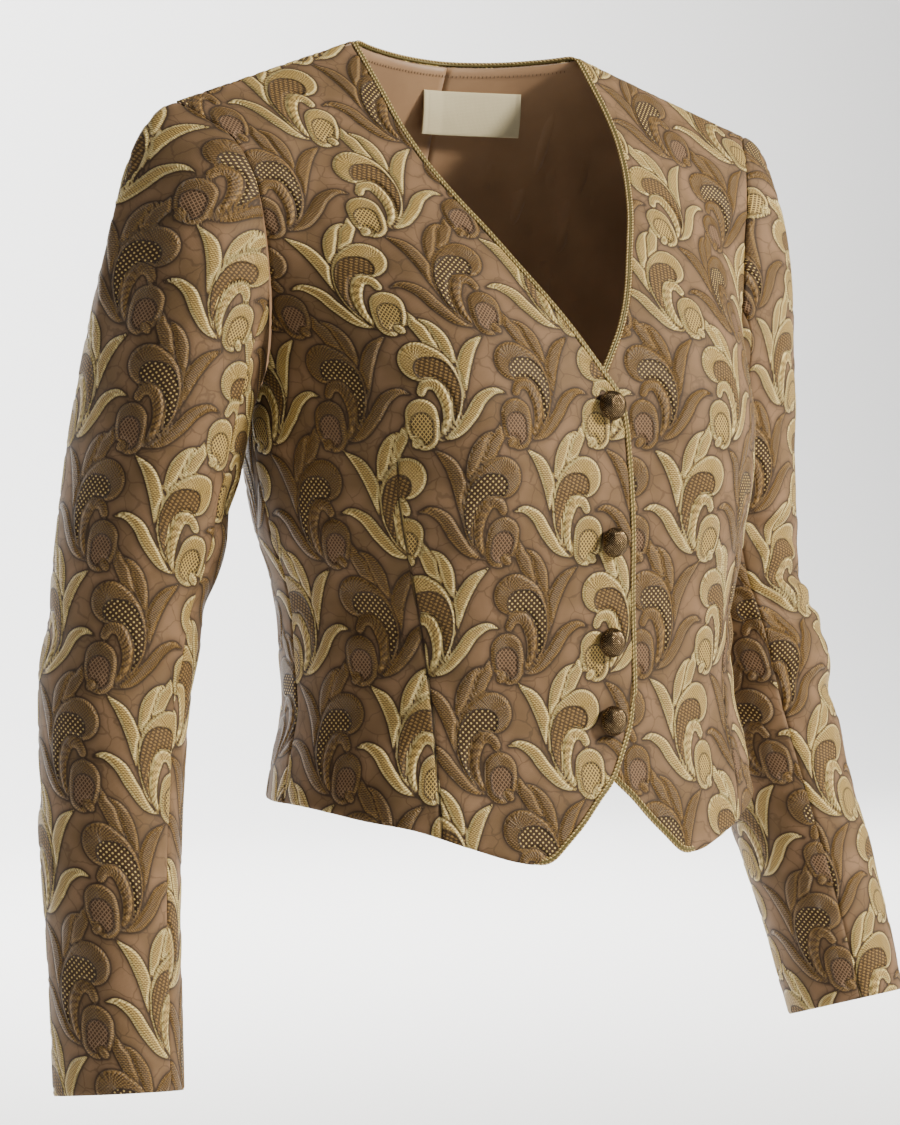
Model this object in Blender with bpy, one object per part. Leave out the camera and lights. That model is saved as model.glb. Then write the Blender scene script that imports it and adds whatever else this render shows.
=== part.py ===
"""Cropped bolero jacket, shaped as it is worn, with an empty hollow inside.

Metres, +Z up. The jacket faces -Y and the wearer's right is at -X. The origin
lies midway between the two points where the shoulder seams meet the neck.
Every wall is given by its outer face, and its thickness goes inwards.
"""
import math

import bmesh
import bpy
import numpy as np

# Walls and gaps
CLOTH = 0.0018
LINING = 0.0010
SEAM_GAP = 0.0003
ARMHOLE_GAP = 0.0005

# Neck, lap and hem
NECK_HALF_WIDTH = 0.0855
BACK_NECK_DROP = 0.007
LAP_LIFT = 0.0018
LAP_FADE_START = 0.022
LAP_FADE_END = 0.070
UNDERARM = -0.238
SHOULDER_ROW = 0.0308
HEM_HALF_WIDTH = 0.163
SIDE_HEM = -0.466
BACK_HEM = -0.463

# Bust
BUST_ACROSS = 0.088
BUST_HEIGHT = -0.252
BUST_WIDTH = 0.050
BUST_TALL = 0.075
BUST_DEPTH = 0.013

# Piping along the neck, the front edges and the cutaway
PIPING_RADIUS = 0.0015
PIPING_GAP = 0.0004
PIPING_END_ACROSS = 0.058
PIPING_RESOLUTION = 1

# Buttons, on the centre front
BUTTON_HEIGHTS = (-0.231, -0.312, -0.372, -0.419)
BUTTON_RADIUS = 0.0090
BUTTON_DOME = 0.0066
BUTTON_RIM = 0.0014
SHANK_RADIUS = 0.0030
SHANK_LENGTH = 0.0018
BUTTON_SIDES = 20
DOME_STEPS = 5

# Label, under the back neck
LABEL_WIDTH = 0.068
LABEL_TALL = 0.028
LABEL_DROP = 0.020
LABEL_THICK = 0.0010
LABEL_ACROSS = 0.012
LABEL_GAP = 0.0005
LABEL_ROWS = 4
LABEL_COLUMNS = 8

# Lining of the back, from this row of the back's grid up to the neck
LINING_FIRST_ROW = 1

# Sleeves
FRONT_SEAM_TURN = 125.0
BACK_SEAM_TURN = 245.0
CAP_START_PULL = 0.66
CAP_END_PULL = 0.90

# Grid counts
ROWS_BELOW = 14
ROWS_ABOVE = 10
UPPER_EASE = 1.15
FRONT_COLUMNS = 20
FRONT_EASE = 1.25
BACK_COLUMNS = 13
BACK_NECK_COLUMNS = 5
CAP_RINGS = 8
ARM_RINGS = 18
SOLVE_STEPS = 80
SOLVE_GAIN = 3.0
HEIGHT_GAIN = 0.5

# Sections of the body, each from the centre plane out to the side seam or armhole
SECTION_COLUMNS = (
    "height", "edge_height", "half_width", "edge_y", "centre_y", "turn", "full", "fall")
FRONT_SECTIONS = (
    (-0.520, -0.520, 0.168, -0.016, -0.138, 90.0, 0.004, 2.0),
    (-0.466, -0.466, 0.163, -0.015, -0.131, 90.0, 0.004, 2.0),
    (-0.440, -0.440, 0.158, -0.014, -0.126, 90.0, 0.004, 2.0),
    (-0.405, -0.405, 0.151, -0.012, -0.123, 90.0, 0.004, 2.0),
    (-0.350, -0.350, 0.152, -0.008, -0.124, 90.0, 0.005, 2.0),
    (-0.300, -0.300, 0.164, -0.004, -0.127, 90.0, 0.006, 2.0),
    (-0.238, -0.238, 0.173, 0.000, -0.126, 90.0, 0.007, 2.0),
    (-0.190, -0.200, 0.1725, -0.022, -0.117, 76.0, 0.007, 2.0),
    (-0.130, -0.150, 0.1755, -0.031, -0.084, 66.0, 0.006, 1.6),
    (-0.070, -0.105, 0.180, -0.030, -0.043, 58.0, 0.004, 1.3),
    (-0.020, -0.072, 0.189, -0.019, -0.010, 50.0, 0.002, 1.1),
    (0.015, -0.053, 0.203, 0.003, 0.013, 44.0, 0.001, 1.0),
    (0.0308, -0.045, 0.212, 0.015, 0.0245, 40.0, 0.000, 1.0),
)
BACK_SECTIONS = (
    (-0.520, -0.520, 0.168, -0.016, 0.092, 90.0, 0.004, 2.0),
    (-0.466, -0.466, 0.163, -0.015, 0.088, 90.0, 0.004, 2.0),
    (-0.440, -0.440, 0.158, -0.014, 0.084, 90.0, 0.004, 2.0),
    (-0.405, -0.405, 0.151, -0.012, 0.080, 90.0, 0.004, 2.0),
    (-0.350, -0.350, 0.152, -0.008, 0.082, 90.0, 0.004, 2.0),
    (-0.300, -0.300, 0.164, -0.004, 0.088, 90.0, 0.005, 2.0),
    (-0.238, -0.238, 0.173, 0.000, 0.094, 90.0, 0.006, 2.0),
    (-0.190, -0.200, 0.176, 0.028, 0.097, 76.0, 0.006, 2.0),
    (-0.130, -0.150, 0.181, 0.044, 0.093, 66.0, 0.005, 1.6),
    (-0.070, -0.105, 0.186, 0.046, 0.078, 58.0, 0.004, 1.3),
    (-0.020, -0.072, 0.194, 0.035, 0.057, 50.0, 0.002, 1.1),
    (0.015, -0.053, 0.205, 0.024, 0.037, 44.0, 0.001, 1.0),
    (0.0308, -0.045, 0.212, 0.015, 0.0245, 40.0, 0.000, 1.0),
)

# Outline of a front: its front edge and V neck, then its hem with the cutaway
EDGE_COLUMNS = ("height", "across")
FRONT_EDGE = (
    (-0.520, -0.0180),
    (-0.405, -0.0180),
    (-0.338, -0.0160),
    (-0.250, -0.0115),
    (-0.229, -0.0085),
    (-0.208, 0.0045),
    (-0.183, 0.0210),
    (-0.157, 0.0365),
    (-0.128, 0.0520),
    (-0.102, 0.0660),
    (-0.075, 0.0770),
    (-0.050, 0.0825),
    (0.000, 0.0855),
    (0.034, 0.0870),
)
HEM_COLUMNS = ("across", "height")
FRONT_HEM = (
    (-0.0180, -0.4060),
    (-0.0150, -0.4195),
    (-0.0095, -0.4305),
    (0.0022, -0.4512),
    (0.0147, -0.4635),
    (0.0262, -0.4765),
    (0.0380, -0.4880),
    (0.0475, -0.4970),
    (0.0565, -0.5005),
    (0.0640, -0.4992),
    (0.0924, -0.4893),
    (0.1196, -0.4785),
    (0.1400, -0.4735),
    (0.1630, -0.4660),
)

# Sleeve rings from the upper arm to the cuff, and the largest folds of each sleeve
RING_COLUMNS = ("x", "y", "z", "half_across", "half_deep")
RIGHT_RINGS = (
    (-0.2290, 0.018, -0.262, 0.0505, 0.0575),
    (-0.2350, 0.020, -0.295, 0.0500, 0.0550),
    (-0.2450, 0.022, -0.342, 0.0465, 0.0500),
    (-0.2550, 0.021, -0.390, 0.0445, 0.0480),
    (-0.2610, 0.015, -0.430, 0.0425, 0.0465),
    (-0.2670, 0.007, -0.488, 0.0405, 0.0445),
    (-0.2710, -0.004, -0.555, 0.0380, 0.0415),
    (-0.2750, -0.015, -0.628, 0.0370, 0.0405),
)
LEFT_RINGS = (
    (0.2165, 0.053, -0.262, 0.0500, 0.0560),
    (0.2185, 0.053, -0.295, 0.0490, 0.0540),
    (0.2225, 0.050, -0.335, 0.0470, 0.0510),
    (0.2290, 0.040, -0.382, 0.0480, 0.0530),
    (0.2340, 0.027, -0.430, 0.0450, 0.0490),
    (0.2390, 0.008, -0.488, 0.0415, 0.0460),
    (0.2470, -0.014, -0.555, 0.0395, 0.0430),
    (0.2530, -0.032, -0.622, 0.0375, 0.0410),
)
FOLD_COLUMNS = ("along", "turn", "reach", "width", "slant", "depth")
RIGHT_FOLDS = (
    (0.020, 150.0, 55.0, 0.016, 0.010, -0.0030),
    (0.075, 170.0, 60.0, 0.015, -0.012, -0.0035),
    (0.120, 30.0, 60.0, 0.018, 0.014, -0.0022),
)
LEFT_FOLDS = (
    (0.055, 120.0, 60.0, 0.015, 0.014, -0.0030),
    (0.094, 30.0, 90.0, 0.012, -0.006, -0.0055),
    (0.128, 20.0, 80.0, 0.018, 0.010, 0.0025),
)

# Colour, roughness and metallic value of each finish
BROCADE = ("brocade", (0.20, 0.13, 0.075), 0.55, 0.0)
SATIN = ("satin", (0.33, 0.20, 0.12), 0.35, 0.0)
CREAM = ("cream_cloth", (0.80, 0.74, 0.60), 0.60, 0.0)
GOLD_CORD = ("gold_cord", (0.45, 0.31, 0.12), 0.45, 0.0)
BRASS = ("antique_brass", (0.22, 0.15, 0.07), 0.35, 1.0)


def column(table, names, name):
    """One named column of a table as an array."""
    return np.array([row[names.index(name)] for row in table])


def smooth_read(xs, ys, x):
    """Values at x of a smooth curve through the points, with no overshoot between them."""
    step = np.diff(xs)
    slope = np.diff(ys) / step
    tangent = np.zeros_like(ys)
    tangent[0] = slope[0]
    tangent[-1] = slope[-1]
    same_way = slope[:-1] * slope[1:] > 0
    total = np.where(same_way, slope[:-1] + slope[1:], 1.0)
    tangent[1:-1] = np.where(same_way, 2.0 * slope[:-1] * slope[1:] / total, 0.0)
    x = np.clip(x, xs[0], xs[-1])
    k = np.clip(np.searchsorted(xs, x, side="right") - 1, 0, len(xs) - 2)
    t = (x - xs[k]) / step[k]
    start_share = (1 + 2 * t) * (1 - t) ** 2
    start_slope = t * (1 - t) ** 2 * step[k]
    end_share = t * t * (3 - 2 * t)
    end_slope = t * t * (t - 1) * step[k]
    return (start_share * ys[k] + start_slope * tangent[k]
            + end_share * ys[k + 1] + end_slope * tangent[k + 1])


def smooth_step(x, start, end):
    """0 before start, 1 past end, with a soft change between."""
    t = np.clip((x - start) / (end - start), 0.0, 1.0)
    return t * t * (3 - 2 * t)


def unit(vectors):
    """Vectors scaled to length 1."""
    return vectors / np.maximum(np.linalg.norm(vectors, axis=-1, keepdims=True), 1e-12)


def body_point(table, side, turn, height):
    """Points on the outer face of a body panel.

    side is -1 for the wearer's right and 1 for the left, turn is 0 at the centre
    plane and 1 at the side seam or armhole, and height names the section.
    """
    heights = column(table, SECTION_COLUMNS, "height")
    read = {name: smooth_read(heights, column(table, SECTION_COLUMNS, name), height)
            for name in SECTION_COLUMNS[1:]}
    end = np.radians(read["turn"])
    angle = turn * end
    share = np.sin(angle) / np.sin(end)
    across = read["half_width"] * share
    depth = (np.cos(angle) - np.cos(end)) / (1.0 - np.cos(end))
    y = read["edge_y"] + (read["centre_y"] - read["edge_y"]) * depth
    z = height + (read["edge_height"] - height) * np.abs(share) ** read["fall"]
    push = read["full"] * np.sin(np.pi * np.clip(turn, 0.0, 1.0)) ** 2
    across = across + push * np.sin(angle)
    if table is BACK_SECTIONS:
        y = y + push * np.cos(angle)
    else:
        y = y - push * np.cos(angle)
        bust_up = (z - BUST_HEIGHT) / BUST_TALL
        for bust in (BUST_ACROSS, -BUST_ACROSS):
            bust_across = (across - bust) / BUST_WIDTH
            y = y - BUST_DEPTH * np.exp(-bust_across ** 2 - bust_up ** 2)
        lap = 1.0 - smooth_step(across, LAP_FADE_START, LAP_FADE_END)
        y = y + side * LAP_LIFT * lap
    return np.stack([side * across, y, z], axis=-1)


def front_edge_across(height):
    """Distance of the front edge from the centre plane, towards its own side."""
    return smooth_read(
        column(FRONT_EDGE, EDGE_COLUMNS, "height"), column(FRONT_EDGE, EDGE_COLUMNS, "across"), height)


def front_hem_height(across):
    """Height of a front's lower outline at a distance across."""
    return smooth_read(
        column(FRONT_HEM, HEM_COLUMNS, "across"), column(FRONT_HEM, HEM_COLUMNS, "height"), across)


def back_hem_height(across):
    """Height of the back's hem at a distance across."""
    return BACK_HEM + (SIDE_HEM - BACK_HEM) * (np.abs(across) / HEM_HALF_WIDTH) ** 2


def back_neck_height(across):
    """Height of the back neck curve at a distance across."""
    return -BACK_NECK_DROP * (1.0 - np.clip(across / NECK_HALF_WIDTH, 0.0, 1.0) ** 2.2)


def lower_shares():
    """Shares of the way from the hem (0) to the underarm (1)."""
    return np.linspace(0.0, 1.0, ROWS_BELOW + 1)


def upper_shares():
    """Shares from the underarm (0) to the shoulder seam (1), without the first."""
    return 1.0 - (1.0 - np.linspace(0.0, 1.0, ROWS_ABOVE + 1)[1:]) ** UPPER_EASE


def hem_across(turn):
    """Distance across at which a turn meets the hem."""
    return HEM_HALF_WIDTH * np.sin(np.clip(turn, -1.0, 1.0) * math.pi / 2)


def front_row(side, height_of):
    """Points of a front row, which starts where it meets the front edge."""
    first = 0.0
    for _ in range(SOLVE_STEPS):
        start = np.array([first])
        point = body_point(FRONT_SECTIONS, side, start, height_of(start))[0]
        first += (front_edge_across(point[2]) - side * point[0]) * SOLVE_GAIN
    turns = first + (1.0 - first) * np.linspace(0.0, 1.0, FRONT_COLUMNS) ** FRONT_EASE
    return body_point(FRONT_SECTIONS, side, turns, height_of(turns))


def front_grid(side):
    """Outer points of a front, rows from hem to shoulder, columns from front edge to side."""
    rows = []
    for share in lower_shares():
        def height_of(turn, share=share):
            hem = front_hem_height(hem_across(turn))
            return hem + (UNDERARM - hem) * share
        rows.append(front_row(side, height_of))
    for share in upper_shares():
        height = UNDERARM + (SHOULDER_ROW - UNDERARM) * share
        rows.append(front_row(side, lambda turn, height=height: np.full_like(turn, height)))
    return np.array(rows)


def back_top(across):
    """Turn and section height of a point of the back's top outline, this far across."""
    in_neck = across < NECK_HALF_WIDTH
    turn = 0.5
    height = 0.0 if in_neck else SHOULDER_ROW
    for _ in range(SOLVE_STEPS):
        point = body_point(BACK_SECTIONS, 1.0, np.array([turn]), np.array([height]))[0]
        turn += (across - point[0]) * SOLVE_GAIN
        if in_neck:
            height += (back_neck_height(across) - point[2]) * HEIGHT_GAIN
    return turn, height


def back_grid(side):
    """Outer points of a back half, rows from hem to top, columns from centre to side."""
    shoulder_width = BACK_SECTIONS[-1][SECTION_COLUMNS.index("half_width")]
    neck = np.linspace(0.0, NECK_HALF_WIDTH, BACK_NECK_COLUMNS + 1)
    shoulder = np.linspace(NECK_HALF_WIDTH, shoulder_width, BACK_COLUMNS - BACK_NECK_COLUMNS)
    top = np.array([back_top(across) for across in np.concatenate([neck, shoulder[1:]])])
    turns = np.linspace(0.0, 1.0, BACK_COLUMNS)
    hem = back_hem_height(hem_across(turns))
    rows = [body_point(BACK_SECTIONS, side, turns, hem + (UNDERARM - hem) * share)
            for share in lower_shares()]
    for share in upper_shares():
        row_turns = turns + (top[:, 0] - turns) * share
        heights = UNDERARM + (top[:, 1] - UNDERARM) * share
        rows.append(body_point(BACK_SECTIONS, side, row_turns, heights))
    return np.array(rows)


def grid_normals(points, inside):
    """Unit normals of a grid of points, pointing away from the points inside it."""
    across = np.gradient(points, axis=1)
    along = np.gradient(points, axis=0)
    normals = unit(np.cross(across, along))
    if np.sum(normals * (points - inside)) < 0:
        normals = -normals
    return normals


def body_normals(points):
    """Outward normals of a body panel."""
    inside = points * np.array([0.0, 0.0, 1.0])
    normals = grid_normals(points, inside)
    return normals


def pull_in(points, edge, neighbour):
    """Move an edge of a grid half a seam gap towards its neighbouring line of points."""
    points[edge] = points[edge] + unit(points[neighbour] - points[edge]) * SEAM_GAP / 2


def finish_material(finish):
    """The material of a finish."""
    name, colour, roughness, metallic = finish
    material = bpy.data.materials.get(name) or bpy.data.materials.new(name)
    material.use_nodes = True
    shader = material.node_tree.nodes["Principled BSDF"]
    shader.inputs["Base Color"].default_value = (*colour, 1.0)
    shader.inputs["Roughness"].default_value = roughness
    shader.inputs["Metallic"].default_value = metallic
    material.diffuse_color = (*colour, 1.0)
    return material


def add_solid(name, points, faces, finish):
    """Add a closed solid as a named object, shaded smooth, with its faces out."""
    bm = bmesh.new()
    vertices = [bm.verts.new(tuple(point)) for point in points]
    for face in faces:
        bm.faces.new([vertices[i] for i in face])
    bmesh.ops.recalc_face_normals(bm, faces=bm.faces)
    if bm.calc_volume(signed=True) < 0:
        bmesh.ops.reverse_faces(bm, faces=bm.faces)
    mesh = bpy.data.meshes.new(name)
    bm.to_mesh(mesh)
    bm.free()
    mesh.shade_smooth()
    mesh.set_sharp_from_angle(angle=math.radians(40))
    item = bpy.data.objects.new(name, mesh)
    item.data.materials.append(finish_material(finish))
    bpy.context.scene.collection.objects.link(item)
    return item


def add_wall(name, outer, normals, thickness, finish):
    """Add a wall whose outer face is a grid of points and whose thickness goes inwards."""
    rows, columns = outer.shape[:2]
    inner = outer - normals * thickness
    points = np.concatenate([outer.reshape(-1, 3), inner.reshape(-1, 3)])
    behind = rows * columns

    def index(row, col):
        return row * columns + col

    faces = []
    for row in range(rows - 1):
        for col in range(columns - 1):
            near, beside = index(row, col), index(row, col + 1)
            above, far = index(row + 1, col), index(row + 1, col + 1)
            for corners in ((near, beside, far), (near, far, above)):
                faces.append(corners)
                faces.append(tuple(i + behind for i in reversed(corners)))
    border = [index(0, col) for col in range(columns)]
    border += [index(row, columns - 1) for row in range(1, rows)]
    border += [index(rows - 1, col) for col in range(columns - 2, -1, -1)]
    border += [index(row, 0) for row in range(rows - 2, 0, -1)]
    for first, second in zip(border, border[1:] + border[:1]):
        low, high = sorted((first, second))
        faces.append((second, first, low + behind))
        faces.append((first + behind, second + behind, high))
    return add_solid(name, points, faces, finish)


def share_seam_normals(front, back):
    """Give the front and the back the same normals along their side and shoulder seams."""
    top = unit(front[-1, -1] + back[-1, -1])
    seam = slice(0, ROWS_BELOW + 1)
    side = unit(front[seam, -1] + back[seam, -1])
    front[seam, -1] = side
    back[seam, -1] = side
    shoulder = unit(front[-1, 1:-1].mean(axis=0) + back[-1, BACK_NECK_COLUMNS + 1:-1].mean(axis=0))
    front[-1, :] = shoulder
    back[-1, BACK_NECK_COLUMNS:] = shoulder
    front[-1, -1] = top
    back[-1, -1] = top


def armhole(front, back, front_normals, back_normals):
    """The armhole's points and normals: down the front from the shoulder, and up the back."""
    down = slice(None, ROWS_BELOW - 1, -1)
    up = slice(ROWS_BELOW + 1, -1)
    points = np.concatenate([front[down, -1], back[up, -1]])
    normals = np.concatenate([front_normals[down, -1], back_normals[up, -1]])
    return points, normals


def read_rings(rings, share):
    """Ring values at shares of the way from the upper arm to the cuff."""
    centre = np.stack([column(rings, RING_COLUMNS, name) for name in "xyz"], axis=-1)
    length = np.concatenate([[0.0], np.cumsum(np.linalg.norm(np.diff(centre, axis=0), axis=1))])
    at = share * length[-1]
    line = np.stack([smooth_read(length, centre[:, axis], at) for axis in range(3)], axis=-1)
    half_across = smooth_read(length, column(rings, RING_COLUMNS, "half_across"), at)
    half_deep = smooth_read(length, column(rings, RING_COLUMNS, "half_deep"), at)
    return at, line, half_across, half_deep


def fold_height(folds, along, angle):
    """How far the largest folds lift the sleeve's face at places along and around it."""
    total = np.zeros(np.broadcast(along, angle).shape)
    for centre, turn, reach, width, slant, depth in folds:
        away = (np.degrees(angle) - turn + 180.0) % 360.0 - 180.0
        place = along - centre - slant * np.radians(away)
        total = total + depth * np.exp(-(place / width) ** 2 - (away / reach) ** 2)
    return total


def arm_rings(side, rings, folds, angles):
    """Points of the arm's rings, and the direction of the arm at the first one."""
    share = np.linspace(0.0, 1.0, ARM_RINGS + 1)
    at, line, half_across, half_deep = read_rings(rings, share)
    axis = unit(np.gradient(line, axis=0))
    out = unit(np.array([side, 0.0, 0.0]) - axis * (axis[:, :1] * side))
    ahead = unit(np.cross(axis, out)) * side
    lift = fold_height(folds, at[:, None], angles[None, :])
    reach_out = (half_across[:, None] + lift) * np.cos(angles)
    reach_ahead = (half_deep[:, None] + lift) * np.sin(angles)
    points = (line[:, None] + out[:, None] * reach_out[..., None]
              + ahead[:, None] * reach_ahead[..., None])
    return points, axis[0], line


def cap_rings(side, loop, first_ring, axis, angles):
    """Points of the sleeve cap, from the armhole out over the shoulder to the first ring."""
    over = (1.0 + np.cos(angles))[:, None] / 2
    start = unit(over * np.array([side * 0.97, 0.0, -0.24])
                 + (1.0 - over) * np.array([side * 0.50, 0.0, -0.85])
                 + np.sin(angles)[:, None] * np.array([0.0, -0.40, 0.0]))
    span = np.linalg.norm(first_ring - loop, axis=-1, keepdims=True)
    rings = []
    for u in np.linspace(0.0, 1.0, CAP_RINGS + 1)[:-1]:
        rings.append((1 + 2 * u) * (1 - u) ** 2 * loop
                     + u * (1 - u) ** 2 * CAP_START_PULL * span * start
                     + u * u * (3 - 2 * u) * first_ring
                     + u * u * (u - 1) * CAP_END_PULL * span * axis)
    return np.array(rings)


def loop_angles(loop):
    """Angle around the sleeve of each armhole point: 0 at the shoulder, 180 at the underarm."""
    lengths = np.linalg.norm(np.roll(loop, -1, axis=0) - loop, axis=1)
    along = np.concatenate([[0.0], np.cumsum(lengths)])
    half = along[ROWS_ABOVE]
    front = along[:ROWS_ABOVE + 1] / half * math.pi
    back = math.pi + (along[ROWS_ABOVE + 1:-1] - half) / (along[-1] - half) * math.pi
    return np.concatenate([front, back])


def add_sleeve(name, side, rings, folds, loop, loop_normals):
    """Add the top and the under piece of a sleeve, set just clear of its armhole."""
    angles = loop_angles(loop)
    around = unit(np.roll(loop, -1, axis=0) - np.roll(loop, 1, axis=0))
    beyond = unit(np.cross(around, loop_normals))
    if beyond[0, 0] * side < 0:
        beyond = -beyond
    low = ((1.0 - np.cos(angles)) / 2)[:, None] ** 2
    start = loop + unit(beyond * (1.0 - low) + loop_normals * low) * ARMHOLE_GAP
    arm, axis, line = arm_rings(side, rings, folds, angles)
    cap = cap_rings(side, start, arm[0], axis, angles)
    points = np.concatenate([cap, arm])
    closed = np.concatenate([points[:, -1:], points, points[:, :1]], axis=1)
    inside = np.concatenate([np.repeat(line[:1], CAP_RINGS, axis=0), line])[:, None]
    normals = grid_normals(closed, inside)[:, 1:-1]
    flat = normals[0] - beyond * np.sum(normals[0] * beyond, axis=-1, keepdims=True)
    normals[0] = unit(flat)
    front_seam = int(np.argmin(np.abs(angles - math.radians(FRONT_SEAM_TURN))))
    back_seam = int(np.argmin(np.abs(angles - math.radians(BACK_SEAM_TURN))))
    count = len(angles)
    under = np.arange(front_seam, back_seam + 1)
    top = np.arange(back_seam, count + front_seam + 1) % count
    for piece, order in (("top", top), ("under", under)):
        outer = points[:, order].copy()
        pull_in(outer, (slice(None), 0), (slice(None), 1))
        pull_in(outer, (slice(None), -1), (slice(None), -2))
        add_wall(f"{name}_{piece}", outer, normals[:, order], CLOTH, BROCADE)


def edge_offset(points, normals, neighbours, distance):
    """A line beside an edge, this far out from it within the cloth's middle."""
    along = unit(np.gradient(points, axis=0))
    out = unit(np.cross(along, normals))
    sign = np.where(np.sum(out * (points - neighbours), axis=-1, keepdims=True) < 0, -1.0, 1.0)
    return points - normals * CLOTH / 2 + out * sign * distance


def front_outline(points, normals, side):
    """The piping's line beside one front, from the shoulder to the lowest point."""
    down = slice(None, None, -1)
    last = int(np.argmax(side * points[0, :, 0] > PIPING_END_ACROSS))
    line = np.concatenate([points[down, 0], points[0, 1:last + 1]])
    facing = np.concatenate([normals[down, 0], normals[0, 1:last + 1]])
    beside = np.concatenate([points[down, 1], points[1, 1:last + 1]])
    return edge_offset(line, facing, beside, PIPING_RADIUS + PIPING_GAP)


def add_piping(right, left, neck):
    """Add the piping: one cord from a front point up round the neck to the other.

    Its points are those of the edges that it follows, so that it keeps one gap to them.
    """
    corners = ((right[:1] + neck[:1]) / 2, (left[:1] + neck[-1:]) / 2)
    line = np.concatenate([right[:0:-1], corners[0], neck[1:-1], corners[1], left[1:]])
    curve = bpy.data.curves.new("piping", "CURVE")
    curve.dimensions = "3D"
    spline = curve.splines.new("POLY")
    spline.points.add(len(line) - 1)
    for place, point in zip(spline.points, line):
        place.co = (*point, 1.0)
    curve.bevel_depth = PIPING_RADIUS
    curve.bevel_resolution = PIPING_RESOLUTION
    curve.use_fill_caps = True
    item = bpy.data.objects.new("piping", curve)
    item.data.materials.append(finish_material(GOLD_CORD))
    bpy.context.scene.collection.objects.link(item)


def add_button(name, height):
    """Add a domed button on the centre front, with its shank just clear of the cloth."""
    step = 0.002
    middle = body_point(FRONT_SECTIONS, -1.0, np.zeros(3), height + np.array([-step, 0.0, step]))
    slope = middle[2] - middle[0]
    facing = unit(np.array([0.0, -slope[2], slope[1]]))
    if facing[1] > 0:
        facing = -facing
    beside = np.array([1.0, 0.0, 0.0])
    upward = np.cross(beside, facing)
    foot = middle[1] + facing * SEAM_GAP
    profile = [(SHANK_RADIUS, 0.0), (SHANK_RADIUS, SHANK_LENGTH),
               (BUTTON_RADIUS * 0.94, SHANK_LENGTH), (BUTTON_RADIUS, SHANK_LENGTH + BUTTON_RIM)]
    for k in range(1, DOME_STEPS + 1):
        angle = k / (DOME_STEPS + 0.6) * math.pi / 2
        profile.append((BUTTON_RADIUS * math.cos(angle) ** 0.8,
                        SHANK_LENGTH + BUTTON_RIM + BUTTON_DOME * math.sin(angle)))
    points = [foot]
    for radius, rise in profile:
        for k in range(BUTTON_SIDES):
            angle = 2 * math.pi * k / BUTTON_SIDES
            spoke = beside * math.cos(angle) + upward * math.sin(angle)
            points.append(foot + spoke * radius + facing * rise)
    points.append(foot + facing * (SHANK_LENGTH + BUTTON_RIM + BUTTON_DOME))
    faces = []
    crown = len(points) - 1
    for k in range(BUTTON_SIDES):
        following = (k + 1) % BUTTON_SIDES
        faces.append((0, 1 + following, 1 + k))
        for ring in range(len(profile) - 1):
            low = 1 + ring * BUTTON_SIDES
            high = low + BUTTON_SIDES
            faces.append((low + k, low + following, high + following, high + k))
        last = 1 + (len(profile) - 1) * BUTTON_SIDES
        faces.append((last + k, last + following, crown))
    add_solid(name, points, faces, BRASS)


def add_lining(name, back, normals):
    """Add half of the back lining, laid on the back's inner face, and return its outer points."""
    laid = (back - normals * (CLOTH + SEAM_GAP))[LINING_FIRST_ROW:]
    add_wall(name, laid, normals[LINING_FIRST_ROW:], LINING, SATIN)
    return laid


def add_label(lining):
    """Add the bare label, laid on the lining just under the back neck."""
    across = LABEL_ACROSS + np.linspace(-LABEL_WIDTH / 2, LABEL_WIDTH / 2, LABEL_COLUMNS + 1)
    middle = lining[:, BACK_COLUMNS, 2]
    heights = -BACK_NECK_DROP - LABEL_DROP - np.linspace(LABEL_TALL, 0.0, LABEL_ROWS + 1)
    rows = []
    for place in np.interp(heights, middle, np.arange(len(middle))):
        low = int(place)
        line = lining[low] + (lining[low + 1] - lining[low]) * (place - low)
        rows.append(np.stack([np.interp(across, line[:, 0], line[:, axis]) for axis in range(3)], axis=-1))
    points = np.array(rows)
    normals = body_normals(points)
    laid = points - normals * (LINING + LABEL_GAP)
    add_wall("label", laid, normals, LABEL_THICK, CREAM)


def main():
    """Build the jacket."""
    for item in list(bpy.data.objects):
        bpy.data.objects.remove(item, do_unlink=True)
    outlines = {}
    necks = {}
    linings = {}
    sides = (("right", -1.0, RIGHT_RINGS, RIGHT_FOLDS), ("left", 1.0, LEFT_RINGS, LEFT_FOLDS))
    for word, side, rings, folds in sides:
        front = front_grid(side)
        back = back_grid(side)
        front_normals = body_normals(front)
        back_normals = body_normals(back)
        back_normals[:, 0] = unit(back_normals[:, 0] * np.array([0.0, 1.0, 1.0]))
        share_seam_normals(front_normals, back_normals)
        loop, loop_normals = armhole(front, back, front_normals, back_normals)
        outlines[word] = front_outline(front, front_normals, side)
        neck = slice(0, BACK_NECK_COLUMNS + 1)
        necks[word] = edge_offset(
            back[-1, neck], back_normals[-1, neck], back[-2, neck], PIPING_RADIUS + PIPING_GAP)
        seam = slice(0, ROWS_BELOW + 1)
        shoulder = slice(BACK_NECK_COLUMNS, None)
        pull_in(front, (seam, -1), (seam, -2))
        pull_in(back, (seam, -1), (seam, -2))
        pull_in(front, (-1, slice(None)), (-2, slice(None)))
        pull_in(back, (-1, shoulder), (-2, shoulder))
        pull_in(back, (slice(None), 0), (slice(None), 1))
        add_wall(f"front_{word}", front, front_normals, CLOTH, BROCADE)
        add_wall(f"back_{word}", back, back_normals, CLOTH, BROCADE)
        add_sleeve(f"sleeve_{word}", side, rings, folds, loop, loop_normals)
        linings[word] = add_lining(f"lining_back_{word}", back, back_normals)
    add_label(np.concatenate([linings["right"][:, ::-1], linings["left"]], axis=1))
    add_piping(outlines["right"], outlines["left"], np.concatenate([necks["right"][::-1], necks["left"][1:]]))
    for number, height in enumerate(BUTTON_HEIGHTS, start=1):
        add_button(f"button_{number}", height)


main()
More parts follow.
